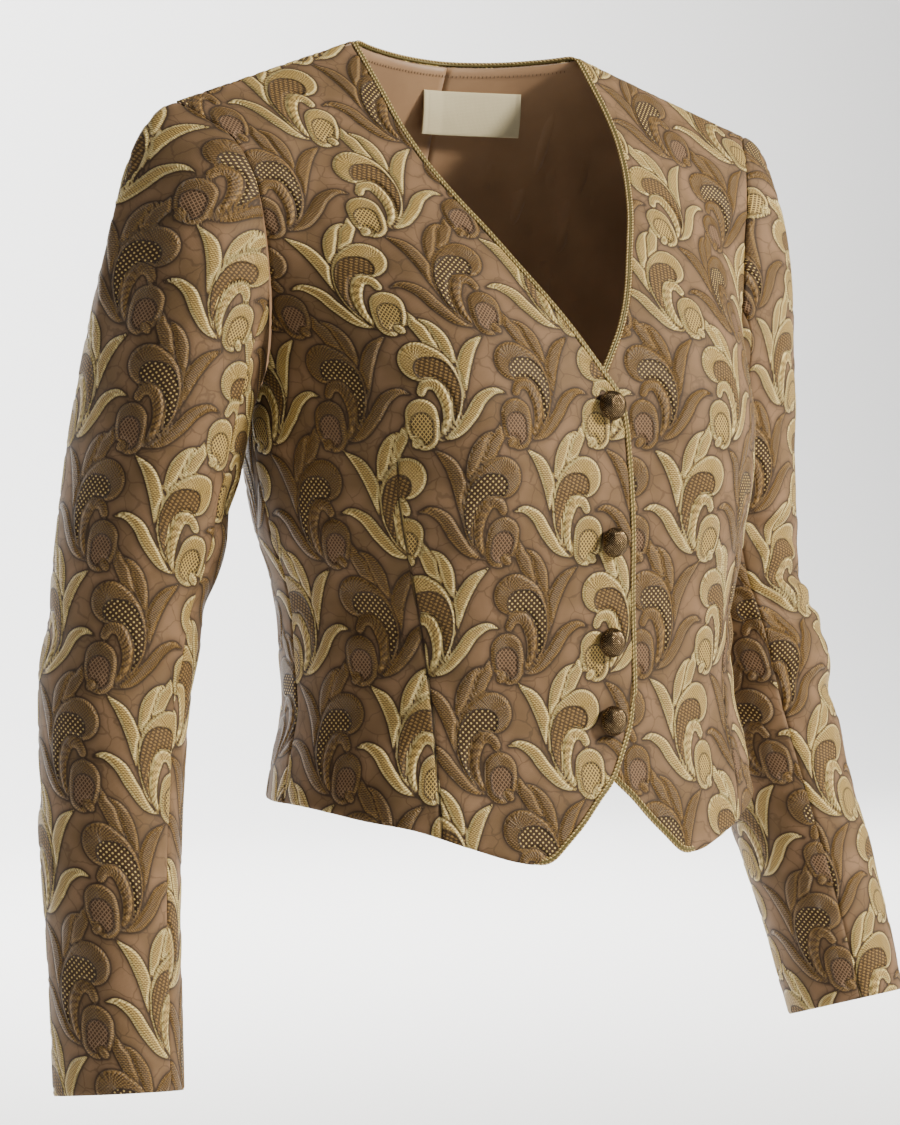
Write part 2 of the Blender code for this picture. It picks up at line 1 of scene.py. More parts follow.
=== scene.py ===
"""Looks of a cropped brocade jacket: cloth, piping, buttons, lining and studio.

Metres, +Z up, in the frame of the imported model. The jacket faces -Y and the
wearer's right is at -X. Cloth patterns are worked out in millimetres.
"""
from __future__ import annotations

import logging
import math
from collections.abc import Callable
from dataclasses import dataclass, field, replace
from enum import Enum

import bmesh
import bpy
import numpy as np
from mathutils import Matrix, Vector

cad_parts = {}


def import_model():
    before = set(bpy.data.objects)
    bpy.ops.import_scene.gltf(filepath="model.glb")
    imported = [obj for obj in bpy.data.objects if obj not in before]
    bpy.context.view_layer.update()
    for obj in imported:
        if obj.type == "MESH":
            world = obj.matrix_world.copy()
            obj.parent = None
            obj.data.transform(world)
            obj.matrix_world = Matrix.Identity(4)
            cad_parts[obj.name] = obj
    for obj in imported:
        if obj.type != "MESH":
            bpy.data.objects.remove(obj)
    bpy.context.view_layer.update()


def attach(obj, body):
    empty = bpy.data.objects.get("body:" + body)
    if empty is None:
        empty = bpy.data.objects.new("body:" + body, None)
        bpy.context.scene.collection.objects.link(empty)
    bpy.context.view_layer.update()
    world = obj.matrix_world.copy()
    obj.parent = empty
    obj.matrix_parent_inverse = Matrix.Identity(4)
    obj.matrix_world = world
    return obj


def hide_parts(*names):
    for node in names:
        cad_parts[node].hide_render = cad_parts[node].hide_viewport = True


log = logging.getLogger("jacket")

MM = 0.001
CLOTH = 0.0018
LINING = 0.0010
SEAM_GAP = 0.0003
ARMHOLE_GAP = 0.0005
INNER_STRIDE = 4  # cells of a shell's outer face to one cell of its inner face
FAR_FROM_SEAM = 60.0  # millimetres, where no dart is near
EDGE_PLACES = (0.0, 0.0005, 0.0012, 0.0021)  # of the first points from an edge
EDGE_ROLL = 0.0007
EDGE_REACH = 0.0011
BODY_FADE = 0.020  # distance from an edge over which the body's creases die out
SLEEVE_FADE = 0.012
CREASE_RADIUS = 0.045  # metres for each radian, in the places of the sleeves' creases
SLEEVE_RADIUS = 0.050  # the same, for the number of cells round a sleeve
FRONT_FLAT = (0.27, 0.55)
BACK_FLAT = (0.22, 0.49)
TOP_FLAT = (0.21, 0.62)
UNDER_FLAT = (0.13, 0.50)
LINING_FLAT = (0.22, 0.47)
FINE_BUMP = 0.0002

SECTION_COLUMNS = (
    "height", "edge_height", "half_width", "edge_y", "centre_y", "turn", "full", "fall")
FRONT_SECTIONS = (
    (-0.520, -0.520, 0.168, -0.016, -0.138, 90.0, 0.004, 2.0),
    (-0.466, -0.466, 0.163, -0.015, -0.131, 90.0, 0.004, 2.0),
    (-0.440, -0.440, 0.158, -0.014, -0.126, 90.0, 0.004, 2.0),
    (-0.405, -0.405, 0.151, -0.012, -0.123, 90.0, 0.004, 2.0),
    (-0.350, -0.350, 0.152, -0.008, -0.124, 90.0, 0.005, 2.0),
    (-0.300, -0.300, 0.164, -0.004, -0.127, 90.0, 0.006, 2.0),
    (-0.238, -0.238, 0.173, 0.000, -0.126, 90.0, 0.007, 2.0),
    (-0.190, -0.200, 0.1725, -0.022, -0.117, 76.0, 0.007, 2.0),
    (-0.130, -0.150, 0.1755, -0.031, -0.084, 66.0, 0.006, 1.6),
    (-0.070, -0.105, 0.180, -0.030, -0.043, 58.0, 0.004, 1.3),
    (-0.020, -0.072, 0.189, -0.019, -0.010, 50.0, 0.002, 1.1),
    (0.015, -0.053, 0.203, 0.003, 0.013, 44.0, 0.001, 1.0),
    (0.0308, -0.045, 0.212, 0.015, 0.0245, 40.0, 0.000, 1.0),
)
BACK_SECTIONS = (
    (-0.520, -0.520, 0.168, -0.016, 0.092, 90.0, 0.004, 2.0),
    (-0.466, -0.466, 0.163, -0.015, 0.088, 90.0, 0.004, 2.0),
    (-0.440, -0.440, 0.158, -0.014, 0.084, 90.0, 0.004, 2.0),
    (-0.405, -0.405, 0.151, -0.012, 0.080, 90.0, 0.004, 2.0),
    (-0.350, -0.350, 0.152, -0.008, 0.082, 90.0, 0.004, 2.0),
    (-0.300, -0.300, 0.164, -0.004, 0.088, 90.0, 0.005, 2.0),
    (-0.238, -0.238, 0.173, 0.000, 0.094, 90.0, 0.006, 2.0),
    (-0.190, -0.200, 0.176, 0.028, 0.097, 76.0, 0.006, 2.0),
    (-0.130, -0.150, 0.181, 0.044, 0.093, 66.0, 0.005, 1.6),
    (-0.070, -0.105, 0.186, 0.046, 0.078, 58.0, 0.004, 1.3),
    (-0.020, -0.072, 0.194, 0.035, 0.057, 50.0, 0.002, 1.1),
    (0.015, -0.053, 0.205, 0.024, 0.037, 44.0, 0.001, 1.0),
    (0.0308, -0.045, 0.212, 0.015, 0.0245, 40.0, 0.000, 1.0),
)
EDGE_COLUMNS = ("height", "across")
FRONT_EDGE = (
    (-0.520, -0.0180), (-0.405, -0.0180), (-0.338, -0.0160), (-0.250, -0.0115),
    (-0.229, -0.0085), (-0.208, 0.0045), (-0.183, 0.0210), (-0.157, 0.0365),
    (-0.128, 0.0520), (-0.102, 0.0660), (-0.075, 0.0770), (-0.050, 0.0825),
    (0.000, 0.0855), (0.034, 0.0870),
)
HEM_COLUMNS = ("across", "height")
FRONT_HEM = (
    (-0.0180, -0.4060), (-0.0150, -0.4195), (-0.0095, -0.4305), (0.0022, -0.4512),
    (0.0147, -0.4635), (0.0262, -0.4765), (0.0380, -0.4880), (0.0475, -0.4970),
    (0.0565, -0.5005), (0.0640, -0.4992), (0.0924, -0.4893), (0.1196, -0.4785),
    (0.1400, -0.4735), (0.1630, -0.4660),
)
DART_COLUMNS = ("height", "turn", "taken")
DART = (
    (-0.500, 0.450, 0.012),
    (-0.461, 0.459, 0.015),
    (-0.412, 0.486, 0.024),
    (-0.382, 0.502, 0.026),
    (-0.345, 0.522, 0.020),
    (-0.298, 0.529, 0.010),
    (-0.268, 0.522, 0.004),
    (-0.242, 0.514, 0.000),
)
RING_COLUMNS = ("x", "y", "z", "half_across", "half_deep")
RIGHT_RINGS = (
    (-0.2290, 0.018, -0.262, 0.0505, 0.0575),
    (-0.2350, 0.020, -0.295, 0.0500, 0.0550),
    (-0.2450, 0.022, -0.342, 0.0465, 0.0500),
    (-0.2550, 0.021, -0.390, 0.0445, 0.0480),
    (-0.2610, 0.015, -0.430, 0.0425, 0.0465),
    (-0.2670, 0.007, -0.488, 0.0405, 0.0445),
    (-0.2710, -0.004, -0.555, 0.0380, 0.0415),
    (-0.2750, -0.015, -0.628, 0.0370, 0.0405),
)
LEFT_RINGS = (
    (0.2165, 0.053, -0.262, 0.0500, 0.0560),
    (0.2185, 0.053, -0.295, 0.0490, 0.0540),
    (0.2225, 0.050, -0.335, 0.0470, 0.0510),
    (0.2290, 0.040, -0.382, 0.0480, 0.0530),
    (0.2340, 0.027, -0.430, 0.0450, 0.0490),
    (0.2390, 0.008, -0.488, 0.0415, 0.0460),
    (0.2470, -0.014, -0.555, 0.0395, 0.0430),
    (0.2530, -0.032, -0.622, 0.0375, 0.0410),
)
FOLD_COLUMNS = ("along", "turn", "reach", "width", "slant", "depth")
RIGHT_FOLDS = (
    (0.020, 150.0, 55.0, 0.016, 0.010, -0.0030),
    (0.075, 170.0, 60.0, 0.015, -0.012, -0.0035),
    (0.120, 30.0, 60.0, 0.018, 0.014, -0.0022),
)
LEFT_FOLDS = (
    (0.055, 120.0, 60.0, 0.015, 0.014, -0.0030),
    (0.094, 30.0, 90.0, 0.012, -0.006, -0.0055),
    (0.128, 20.0, 80.0, 0.018, 0.010, 0.0025),
)


class Side(Enum):
    """The wearer's side, with the sign of its X."""

    RIGHT = -1.0
    LEFT = 1.0

    @property
    def word(self) -> str:
        """The side's name in node names."""
        return self.name.lower()


def column(table: tuple, names: tuple, name: str) -> np.ndarray:
    """One named column of a table."""
    return np.array([row[names.index(name)] for row in table])


def hermite(t: np.ndarray) -> tuple[np.ndarray, ...]:
    """Weights of a cubic's start, start slope, end and end slope at shares of its span."""
    return ((1 + 2 * t) * (1 - t) ** 2, t * (1 - t) ** 2, t * t * (3 - 2 * t), t * t * (t - 1))


def smooth_read(xs: np.ndarray, ys: np.ndarray, x: np.ndarray) -> np.ndarray:
    """Read a smooth curve through points, with no overshoot between them.

    Args:
        xs: Rising places of the points.
        ys: Values at those places.
        x: Places to read.

    Returns:
        The curve's values at x.
    """
    step = np.diff(xs)
    slope = np.diff(ys) / step
    tangent = np.zeros_like(ys)
    tangent[0] = slope[0]
    tangent[-1] = slope[-1]
    same_way = slope[:-1] * slope[1:] > 0
    total = np.where(same_way, slope[:-1] + slope[1:], 1.0)
    tangent[1:-1] = np.where(same_way, 2.0 * slope[:-1] * slope[1:] / total, 0.0)
    x = np.clip(x, xs[0], xs[-1])
    k = np.clip(np.searchsorted(xs, x, side="right") - 1, 0, len(xs) - 2)
    t = (x - xs[k]) / step[k]
    start, leave, end, arrive = hermite(t)
    return (start * ys[k] + leave * step[k] * tangent[k]
            + end * ys[k + 1] + arrive * step[k] * tangent[k + 1])


def smooth_step(x: np.ndarray, start: float, end: float) -> np.ndarray:
    """0 before start, 1 past end, with a soft change between."""
    t = np.clip((x - start) / (end - start), 0.0, 1.0)
    return t * t * (3 - 2 * t)


def unit(vectors: np.ndarray) -> np.ndarray:
    """Vectors scaled to length 1."""
    return vectors / np.maximum(np.linalg.norm(vectors, axis=-1, keepdims=True), 1e-12)


def run_length(points: np.ndarray) -> np.ndarray:
    """Distance along a line of points, from its first."""
    steps = np.linalg.norm(np.diff(points, axis=0), axis=-1)
    return np.concatenate([[0.0], np.cumsum(steps)])


def grid_lengths(points: np.ndarray, axis: int) -> np.ndarray:
    """Distance along each line of a grid, from its first point, along one axis."""
    steps = np.linalg.norm(np.diff(points, axis=axis), axis=-1)
    return np.pad(np.cumsum(steps, axis=axis), ((1, 0), (0, 0)) if axis == 0 else ((0, 0), (1, 0)))


def read_points(at: np.ndarray, places: np.ndarray, points: np.ndarray) -> np.ndarray:
    """Points of a line at wanted places along it."""
    return np.stack([np.interp(at, places, values) for values in points.T], axis=-1)


def add_object(name: str, data: bpy.types.ID) -> bpy.types.Object:
    """A new object in the scene, at the origin."""
    item = bpy.data.objects.new(name, data)
    bpy.context.scene.collection.objects.link(item)
    return item


def cell_steps(length: float, step: float) -> np.ndarray:
    """Places from 0 to 1 along a length, closer together near both ends.

    Args:
        length: The length in metres.
        step: The usual spacing in metres.

    Returns:
        Rising places from 0 to 1, with a multiple of INNER_STRIDE cells between.
    """
    edge = np.array(EDGE_PLACES)
    inner = length - 2 * edge[-1]
    count = max(int(round(inner / step)), 2)
    count += -(count + 2 * (len(edge) - 1)) % INNER_STRIDE
    middle = edge[-1] + np.linspace(0.0, inner, count + 1)
    places = np.concatenate([edge[:-1], middle, length - edge[-2::-1]])
    return places / length


@dataclass(frozen=True)
class Crease:
    """A soft trough, or a ridge when its depth is negative, along a bent line on a panel.

    The ends are places on the panel, width and depth are in metres, and bow is
    how far the middle of the line bends aside.
    """

    start: tuple[float, float]
    end: tuple[float, float]
    width: float
    depth: float
    bow: float = 0.0

    def lift(self, place: np.ndarray) -> np.ndarray:
        """How far the crease moves the cloth outwards at places on the panel."""
        start = np.array(self.start)
        along = np.array(self.end) - start
        length = np.linalg.norm(along)
        along = along / length
        beside = np.array([-along[1], along[0]])
        away = place - start
        t = np.clip(away @ along / length, -0.2, 1.2)
        aside = away @ beside - self.bow * 4.0 * t * (1.0 - t)
        inside = smooth_step(t, -0.15, 0.35) * (1.0 - smooth_step(t, 0.60, 1.15))
        trough = np.exp(-(aside / self.width) ** 2)
        ridge = np.exp(-((aside - 1.7 * self.width) / (1.2 * self.width)) ** 2)
        return inside * self.depth * (0.45 * ridge - trough)

    def on_sleeve(self) -> "Crease":
        """The crease with its ends' turns, which are in radians, made into distances."""
        start, end = ((turn * CREASE_RADIUS, along) for turn, along in (self.start, self.end))
        return replace(self, start=start, end=end)


@dataclass
class Panel:
    """A cut piece as a grid of points, with its normals and its places on the cloth."""

    points: np.ndarray
    normals: np.ndarray
    cloth: np.ndarray
    marks: dict[str, np.ndarray] = field(default_factory=dict)

    @property
    def flat_area(self) -> float:
        """Area of the grid in square metres."""
        corner = self.points[:-1, :-1]
        along = self.points[1:, :-1] - corner
        across = self.points[:-1, 1:] - corner
        return float(np.linalg.norm(np.cross(along, across), axis=-1).sum())

    def push(self, lift: np.ndarray) -> None:
        """Move every point out along its normal."""
        self.points = self.points + self.normals * lift[..., None]

    def edge_distance(self) -> np.ndarray:
        """Roughly how far each point is from the nearest edge of the grid."""
        down, side = grid_lengths(self.points, 0), grid_lengths(self.points, 1)
        ends = (down, down[-1:] - down, side, side[:, -1:] - side)
        return np.minimum.reduce(ends)

    def crease_lift(self, creases: list | tuple, place: np.ndarray, fade: float) -> np.ndarray:
        """Lift of all the creases at places on the panel, dying out over the last stretch."""
        edge = smooth_step(self.edge_distance(), 0.0, fade)
        return sum(crease.lift(place) for crease in creases) * edge

    def roll_edges(self, depth: float, reach: float) -> None:
        """Turn the cloth in along its edges, as at a pressed seam."""
        self.push(-depth * np.exp(-(self.edge_distance() / reach) ** 2))


def grid_normals(points: np.ndarray, inside: np.ndarray) -> np.ndarray:
    """Unit normals of a grid, pointing away from the points inside it."""
    across = np.gradient(points, axis=1)
    along = np.gradient(points, axis=0)
    normals = unit(np.cross(across, along))
    if np.sum(normals * (points - inside)) < 0:
        normals = -normals
    return normals


@dataclass
class BodyForm:
    """The form of the jacket's body, from its sections.

    The lengths of a panel, from which its cells are counted, are those below and
    above the underarm, and across.
    """

    front_lengths: tuple[float, float, float] = (0.250, 0.300, 0.250)
    back_lengths: tuple[float, float, float] = (0.230, 0.250, 0.215)
    neck_half_width: float = 0.0855
    back_neck_drop: float = 0.007
    lap_lift: float = 0.0018
    lap_fade: tuple[float, float] = (0.022, 0.070)
    underarm: float = -0.238
    shoulder_row: float = 0.0308
    hem_half_width: float = 0.163
    side_hem: float = -0.466
    back_hem: float = -0.463
    bust_across: float = 0.088
    bust_height: float = -0.252
    bust_width: float = 0.050
    bust_tall: float = 0.075
    bust_depth: float = 0.013
    climb_turn: float = 0.35
    dart_top: tuple[float, float] = (-0.262, -0.240)
    solve_steps: int = 80
    turn_gain: float = 3.0
    height_gain: float = 0.5

    def point(self, table: tuple, side: float, turn: np.ndarray,
              height: np.ndarray) -> np.ndarray:
        """Points on the outer face of a body panel.

        Args:
            table: The sections of the front or the back.
            side: -1 for the wearer's right, 1 for the left.
            turn: 0 at the centre plane, 1 at the side seam or armhole.
            height: Height of the section at the centre plane.

        Returns:
            The points, in metres.
        """
        heights = column(table, SECTION_COLUMNS, "height")
        read = {name: smooth_read(heights, column(table, SECTION_COLUMNS, name), height)
                for name in SECTION_COLUMNS[1:]}
        end = np.radians(read["turn"])
        angle = turn * end
        share = np.sin(angle) / np.sin(end)
        depth = (np.cos(angle) - np.cos(end)) / (1.0 - np.cos(end))
        y = read["edge_y"] + (read["centre_y"] - read["edge_y"]) * depth
        z = height + (read["edge_height"] - height) * np.abs(share) ** read["fall"]
        push = read["full"] * np.sin(np.pi * np.clip(turn, 0.0, 1.0)) ** 2
        across = read["half_width"] * share + push * np.sin(angle)
        if table is BACK_SECTIONS:
            y = y + push * np.cos(angle)
        else:
            y = y - push * np.cos(angle)
            bust_up = (z - self.bust_height) / self.bust_tall
            for bust in (self.bust_across, -self.bust_across):
                bust_across = (across - bust) / self.bust_width
                y = y - self.bust_depth * np.exp(-bust_across ** 2 - bust_up ** 2)
            lap = 1.0 - smooth_step(across, *self.lap_fade)
            y = y + side * self.lap_lift * lap
        return np.stack([side * across, y, z], axis=-1)

    def hem_across(self, turn: np.ndarray) -> np.ndarray:
        """Distance across at which a turn meets the hem."""
        return self.hem_half_width * np.sin(np.clip(turn, -1.0, 1.0) * math.pi / 2)

    def front_hem(self, turn: np.ndarray) -> np.ndarray:
        """Height of a front's lower outline at a turn."""
        across, height = (column(FRONT_HEM, HEM_COLUMNS, name) for name in HEM_COLUMNS)
        return smooth_read(across, height, self.hem_across(turn))

    def front_edge(self, height: np.ndarray) -> np.ndarray:
        """Distance of the front edge from the centre plane at a height."""
        heights = column(FRONT_EDGE, EDGE_COLUMNS, "height")
        return smooth_read(heights, column(FRONT_EDGE, EDGE_COLUMNS, "across"), height)

    def back_neck(self, across: np.ndarray) -> np.ndarray:
        """Height of the back neck curve at a distance across."""
        share = np.clip(across / self.neck_half_width, 0.0, 1.0)
        return -self.back_neck_drop * (1.0 - share ** 2.2)

    def climb(self, table: tuple, height: np.ndarray) -> np.ndarray:
        """Length of cloth from the underarm up to a height, along the panel's middle."""
        levels = np.linspace(-0.52, self.shoulder_row, 400)
        line = self.point(table, 1.0, np.full_like(levels, self.climb_turn), levels)
        length = run_length(line)
        length = length - np.interp(self.underarm, line[:, 2], length)
        return np.interp(height, line[:, 2], length)

    def even_rows(self, table: tuple, side: float, height_of: Callable, first: np.ndarray,
                  spread: np.ndarray) -> tuple[np.ndarray, np.ndarray]:
        """Rows of evenly spaced points from a first turn to the side.

        Args:
            table: The sections of the panel.
            side: The sign of the side.
            height_of: Section heights of all rows at turns of shape (rows, n).
            first: The turn at which each row starts.
            spread: Shares of the row's length at which points lie.

        Returns:
            The points, and their level distances across from the centre.
        """
        dense = np.linspace(-0.15, 1.0, 460)
        turns = np.broadcast_to(dense, (len(first), len(dense)))
        line = self.point(table, side, turns, height_of(turns))
        across = grid_lengths(line[..., :2], 1)
        across = across - np.array([np.interp(0.0, dense, row) for row in across])[:, None]
        start = np.array([np.interp(at, dense, row) for at, row in zip(first, across)])
        wanted = start[:, None] + (across[:, -1:] - start[:, None]) * spread
        turns = np.array([np.interp(want, row, dense) for want, row in zip(wanted, across)])
        return self.point(table, side, turns, height_of(turns)), wanted

    def front(self, side: Side, step: float) -> Panel:
        """A front as a fine panel, with its dart marked."""
        sign = side.value
        below, above, spread = (cell_steps(length, step) for length in self.front_lengths)
        share = np.concatenate([below, above[1:]])[:, None]
        is_below = (np.arange(len(share)) < len(below))[:, None]

        def height_of(turn: np.ndarray) -> np.ndarray:
            hem = self.front_hem(turn)
            lower = hem + (self.underarm - hem) * share
            upper = self.underarm + (self.shoulder_row - self.underarm) * share
            return np.where(is_below, lower, upper)

        first = np.zeros((len(share), 1))
        for _ in range(self.solve_steps):
            point = self.point(FRONT_SECTIONS, sign, first, height_of(first))
            error = self.front_edge(point[..., 2]) - sign * point[..., 0]
            first = first + error * self.turn_gain
        points, across = self.even_rows(
            FRONT_SECTIONS, sign, height_of, first[:, 0], spread)
        height = points[..., 2]
        beyond = across - self.dart_across(height)
        taken = smooth_read(column(DART, DART_COLUMNS, "height"),
                            column(DART, DART_COLUMNS, "taken"), height)
        cut = across + np.where(beyond > 0, taken, 0.0)
        cloth = np.stack([sign * cut, self.climb(FRONT_SECTIONS, height)], axis=-1)
        fade = smooth_step(height, *self.dart_top)
        marks = {"seam": np.abs(beyond) / MM + FAR_FROM_SEAM * fade, "across": across}
        return Panel(points, self.outward(points), cloth, marks)

    def dart_across(self, height: np.ndarray) -> np.ndarray:
        """Level distance from the centre front to the dart at a height."""
        levels = column(DART, DART_COLUMNS, "height")
        turns = column(DART, DART_COLUMNS, "turn")
        spread = np.linspace(0.0, 1.0, 60)
        distances = []
        for level, turn in zip(levels, turns):
            line = self.point(FRONT_SECTIONS, 1.0, turn * spread, np.full(60, level))
            distances.append(run_length(line[:, :2])[-1])
        return smooth_read(levels, np.array(distances), height)

    def back(self, side: Side, step: float) -> Panel:
        """A back half as a fine panel."""
        sign = side.value
        below, above, cells = (cell_steps(length, step) for length in self.back_lengths)
        top_turn, top_height = self.back_top(cells)
        hem = self.back_hem + (self.side_hem - self.back_hem) * (
            self.hem_across(cells) / self.hem_half_width) ** 2
        rows = [(cells, hem + (self.underarm - hem) * share) for share in below]
        rows += [(cells + (top_turn - cells) * share,
                  self.underarm + (top_height - self.underarm) * share) for share in above[1:]]
        turn, height = (np.array(lines) for lines in zip(*rows))
        points = self.point(BACK_SECTIONS, sign, turn, height)
        across = grid_lengths(points[..., :2], 1)
        cloth = np.stack([sign * across, self.climb(BACK_SECTIONS, points[..., 2])], axis=-1)
        normals = self.outward(points)
        normals[:, 0] = unit(normals[:, 0] * np.array([0.0, 1.0, 1.0]))
        marks = {"seam": np.full(across.shape, FAR_FROM_SEAM), "across": across}
        return Panel(points, normals, cloth, marks)

    def back_top(self, cells: np.ndarray) -> tuple[np.ndarray, np.ndarray]:
        """Turns and section heights along the back's top outline, neck then shoulder."""
        width = BACK_SECTIONS[-1][SECTION_COLUMNS.index("half_width")]
        across = cells * width
        in_neck = across < self.neck_half_width
        turn = np.full_like(across, 0.5)
        height = np.where(in_neck, 0.0, self.shoulder_row)
        for _ in range(self.solve_steps):
            point = self.point(BACK_SECTIONS, 1.0, turn, height)
            turn = turn + (across - point[:, 0]) * self.turn_gain
            lift = (self.back_neck(across) - point[:, 2]) * self.height_gain
            height = np.where(in_neck, height + lift, height)
        return turn, height

    def outward(self, points: np.ndarray) -> np.ndarray:
        """Outward normals of a body panel."""
        return grid_normals(points, points * np.array([0.0, 0.0, 1.0]))

    def seam_angles(self, turns: tuple[float, float]) -> tuple[float, float]:
        """Angles of a sleeve's two seams, at the armhole places nearest to the given turns."""
        share = 1.0 - (1.0 - np.linspace(0.0, 1.0, 11)) ** 1.15
        height = self.underarm + (self.shoulder_row - self.underarm) * share
        front = self.point(FRONT_SECTIONS, 1.0, np.ones(11), height)[::-1]
        back = self.point(BACK_SECTIONS, 1.0, np.ones(11), height)[1:]
        length = run_length(np.concatenate([front, back]))
        half = length[10]
        angle = np.where(length <= half, length / half * math.pi,
                         math.pi + (length - half) / (length[-1] - half) * math.pi)
        near = [float(angle[np.argmin(np.abs(angle - math.radians(turn)))]) for turn in turns]
        return near[0], near[1]


@dataclass
class SleeveForm:
    """The form of one sleeve, from its armhole to its cuff."""

    side: Side
    rings: tuple
    folds: tuple
    start_pull: float = 0.66
    end_pull: float = 0.90
    arm_rings: int = 18
    arm_length: float = 0.385
    cap_length: float = 0.180
    seam_turns: tuple[float, float] = (125.0, 245.0)
    margin: float = 0.02

    def arm_line(self, share: np.ndarray) -> tuple[np.ndarray, ...]:
        """Distance along, centre, and half sizes of the arm at shares of its length."""
        centre = np.stack([column(self.rings, RING_COLUMNS, name) for name in "xyz"], axis=-1)
        length = run_length(centre)
        at = share * length[-1]
        line = np.stack([smooth_read(length, values, at) for values in centre.T], axis=-1)
        half_across, half_deep = (smooth_read(length, column(self.rings, RING_COLUMNS, name), at)
                                  for name in ("half_across", "half_deep"))
        return at, line, half_across, half_deep

    def fold_height(self, along: np.ndarray, angle: np.ndarray) -> np.ndarray:
        """How far the largest folds lift the sleeve's face."""
        total = np.zeros(np.broadcast(along, angle).shape)
        for centre, turn, reach, width, slant, depth in self.folds:
            away = (np.degrees(angle) - turn + 180.0) % 360.0 - 180.0
            place = along - centre - slant * np.radians(away)
            total = total + depth * np.exp(-(place / width) ** 2 - (away / reach) ** 2)
        return total

    def arm(self, share: np.ndarray, angles: np.ndarray) -> tuple[np.ndarray, ...]:
        """Points of the arm, its direction at the top, and its centre line."""
        at, line, half_across, half_deep = self.arm_line(share)
        coarse = self.arm_line(np.linspace(0.0, 1.0, self.arm_rings + 1))
        slopes = unit(np.gradient(coarse[1], axis=0))
        axis = unit(read_points(at, coarse[0], slopes))
        side = self.side.value
        out = unit(np.array([side, 0.0, 0.0]) - axis * (axis[:, :1] * side))
        ahead = unit(np.cross(axis, out)) * side
        lift = self.fold_height(at[:, None], angles[None, :])
        reach_out = (half_across[:, None] + lift) * np.cos(angles)
        reach_ahead = (half_deep[:, None] + lift) * np.sin(angles)
        points = (line[:, None] + out[:, None] * reach_out[..., None]
                  + ahead[:, None] * reach_ahead[..., None])
        return points, axis[0], line

    def cap(self, loop: np.ndarray, first_ring: np.ndarray, axis: np.ndarray,
            angles: np.ndarray, shares: np.ndarray) -> np.ndarray:
        """Points of the cap, from the armhole out over the shoulder to the first ring."""
        side = self.side.value
        over = (1.0 + np.cos(angles))[:, None] / 2
        start = unit(over * np.array([side * 0.97, 0.0, -0.24])
                     + (1.0 - over) * np.array([side * 0.50, 0.0, -0.85])
                     + np.sin(angles)[:, None] * np.array([0.0, -0.40, 0.0]))
        span = np.linalg.norm(first_ring - loop, axis=-1, keepdims=True)
        rings = []
        for u in shares:
            near, leave, far, arrive = hermite(u)
            rings.append(near * loop + leave * self.start_pull * span * start
                         + far * first_ring + arrive * self.end_pull * span * axis)
        return np.array(rings)

    def panels(self, front: Panel, back: Panel, form: BodyForm, step: float) -> dict[str, Panel]:
        """The top and the under piece as fine panels.

        Args:
            front: The front whose armhole the sleeve meets.
            back: The back half whose armhole the sleeve meets.
            form: The body's form.
            step: Spacing of the grid.

        Returns:
            The panels by the name of the piece.
        """
        first_up = int(np.argmin(np.abs(front.points[:, -1, 2] - form.underarm)))
        back_up = int(np.argmin(np.abs(back.points[:, -1, 2] - form.underarm)))
        loop, facing = (
            np.concatenate([ahead[first_up:, -1][::-1], behind[back_up + 1:, -1]])
            for ahead, behind in ((front.points, back.points), (front.normals, back.normals)))
        length = run_length(loop)
        half = length[len(front.points) - first_up - 1]
        loop_angle = np.where(length <= half, length / half * math.pi,
                              math.pi + (length - half) / (length[-1] - half) * math.pi)
        seams = form.seam_angles(self.seam_turns)
        pieces = {}
        for name, low, high in (("under", seams[0], seams[1]),
                                ("top", seams[1] - 2 * math.pi, seams[0])):
            angles = low + (high - low) * cell_steps((high - low) * SLEEVE_RADIUS, step)
            pieces[name] = self.piece(angles, loop, facing, loop_angle, step)
        return pieces

    def piece(self, angles: np.ndarray, loop: np.ndarray, facing: np.ndarray,
              loop_angle: np.ndarray, step: float) -> Panel:
        """One cut piece of the sleeve between two seams."""
        wide = np.concatenate([[angles[0] - self.margin], angles, [angles[-1] + self.margin]])
        turned = wide % (2 * math.pi)
        ring = read_points(turned, loop_angle, loop)
        normal = unit(read_points(turned, loop_angle, facing))
        around = unit(np.gradient(ring, axis=0))
        beyond = unit(np.cross(around, normal))
        beyond = beyond * np.where(beyond[:, :1] * self.side.value < 0, -1.0, 1.0)
        low = ((1.0 - np.cos(turned)) / 2)[:, None] ** 2
        start = ring + unit(beyond * (1.0 - low) + normal * low) * ARMHOLE_GAP
        arm, axis, line = self.arm(cell_steps(self.arm_length, step), wide)
        cap = self.cap(start, arm[0], axis, wide, cell_steps(self.cap_length, step)[:-1])
        points = np.concatenate([cap, arm])
        inside = np.concatenate([np.repeat(line[:1], len(cap), axis=0), line])[:, None]
        normals = grid_normals(points, inside)
        down = grid_lengths(points, 0)
        down = down - down[len(cap)]
        across = grid_lengths(arm, 1)
        across = across - across[:, len(wide) // 2][:, None]
        across = np.concatenate([np.repeat(across[:1], len(cap), axis=0), across])
        cloth = np.stack([-self.side.value * across, -down], axis=-1)
        degrees = np.broadcast_to((np.degrees(wide) + 180.0) % 360.0 - 180.0, down.shape)
        marks = {"seam": np.full(down.shape, FAR_FROM_SEAM), "turn": degrees, "along": down}
        keep = slice(1, -1)
        return Panel(points[:, keep], normals[:, keep], cloth[:, keep],
                     {name: mark[:, keep] for name, mark in marks.items()})


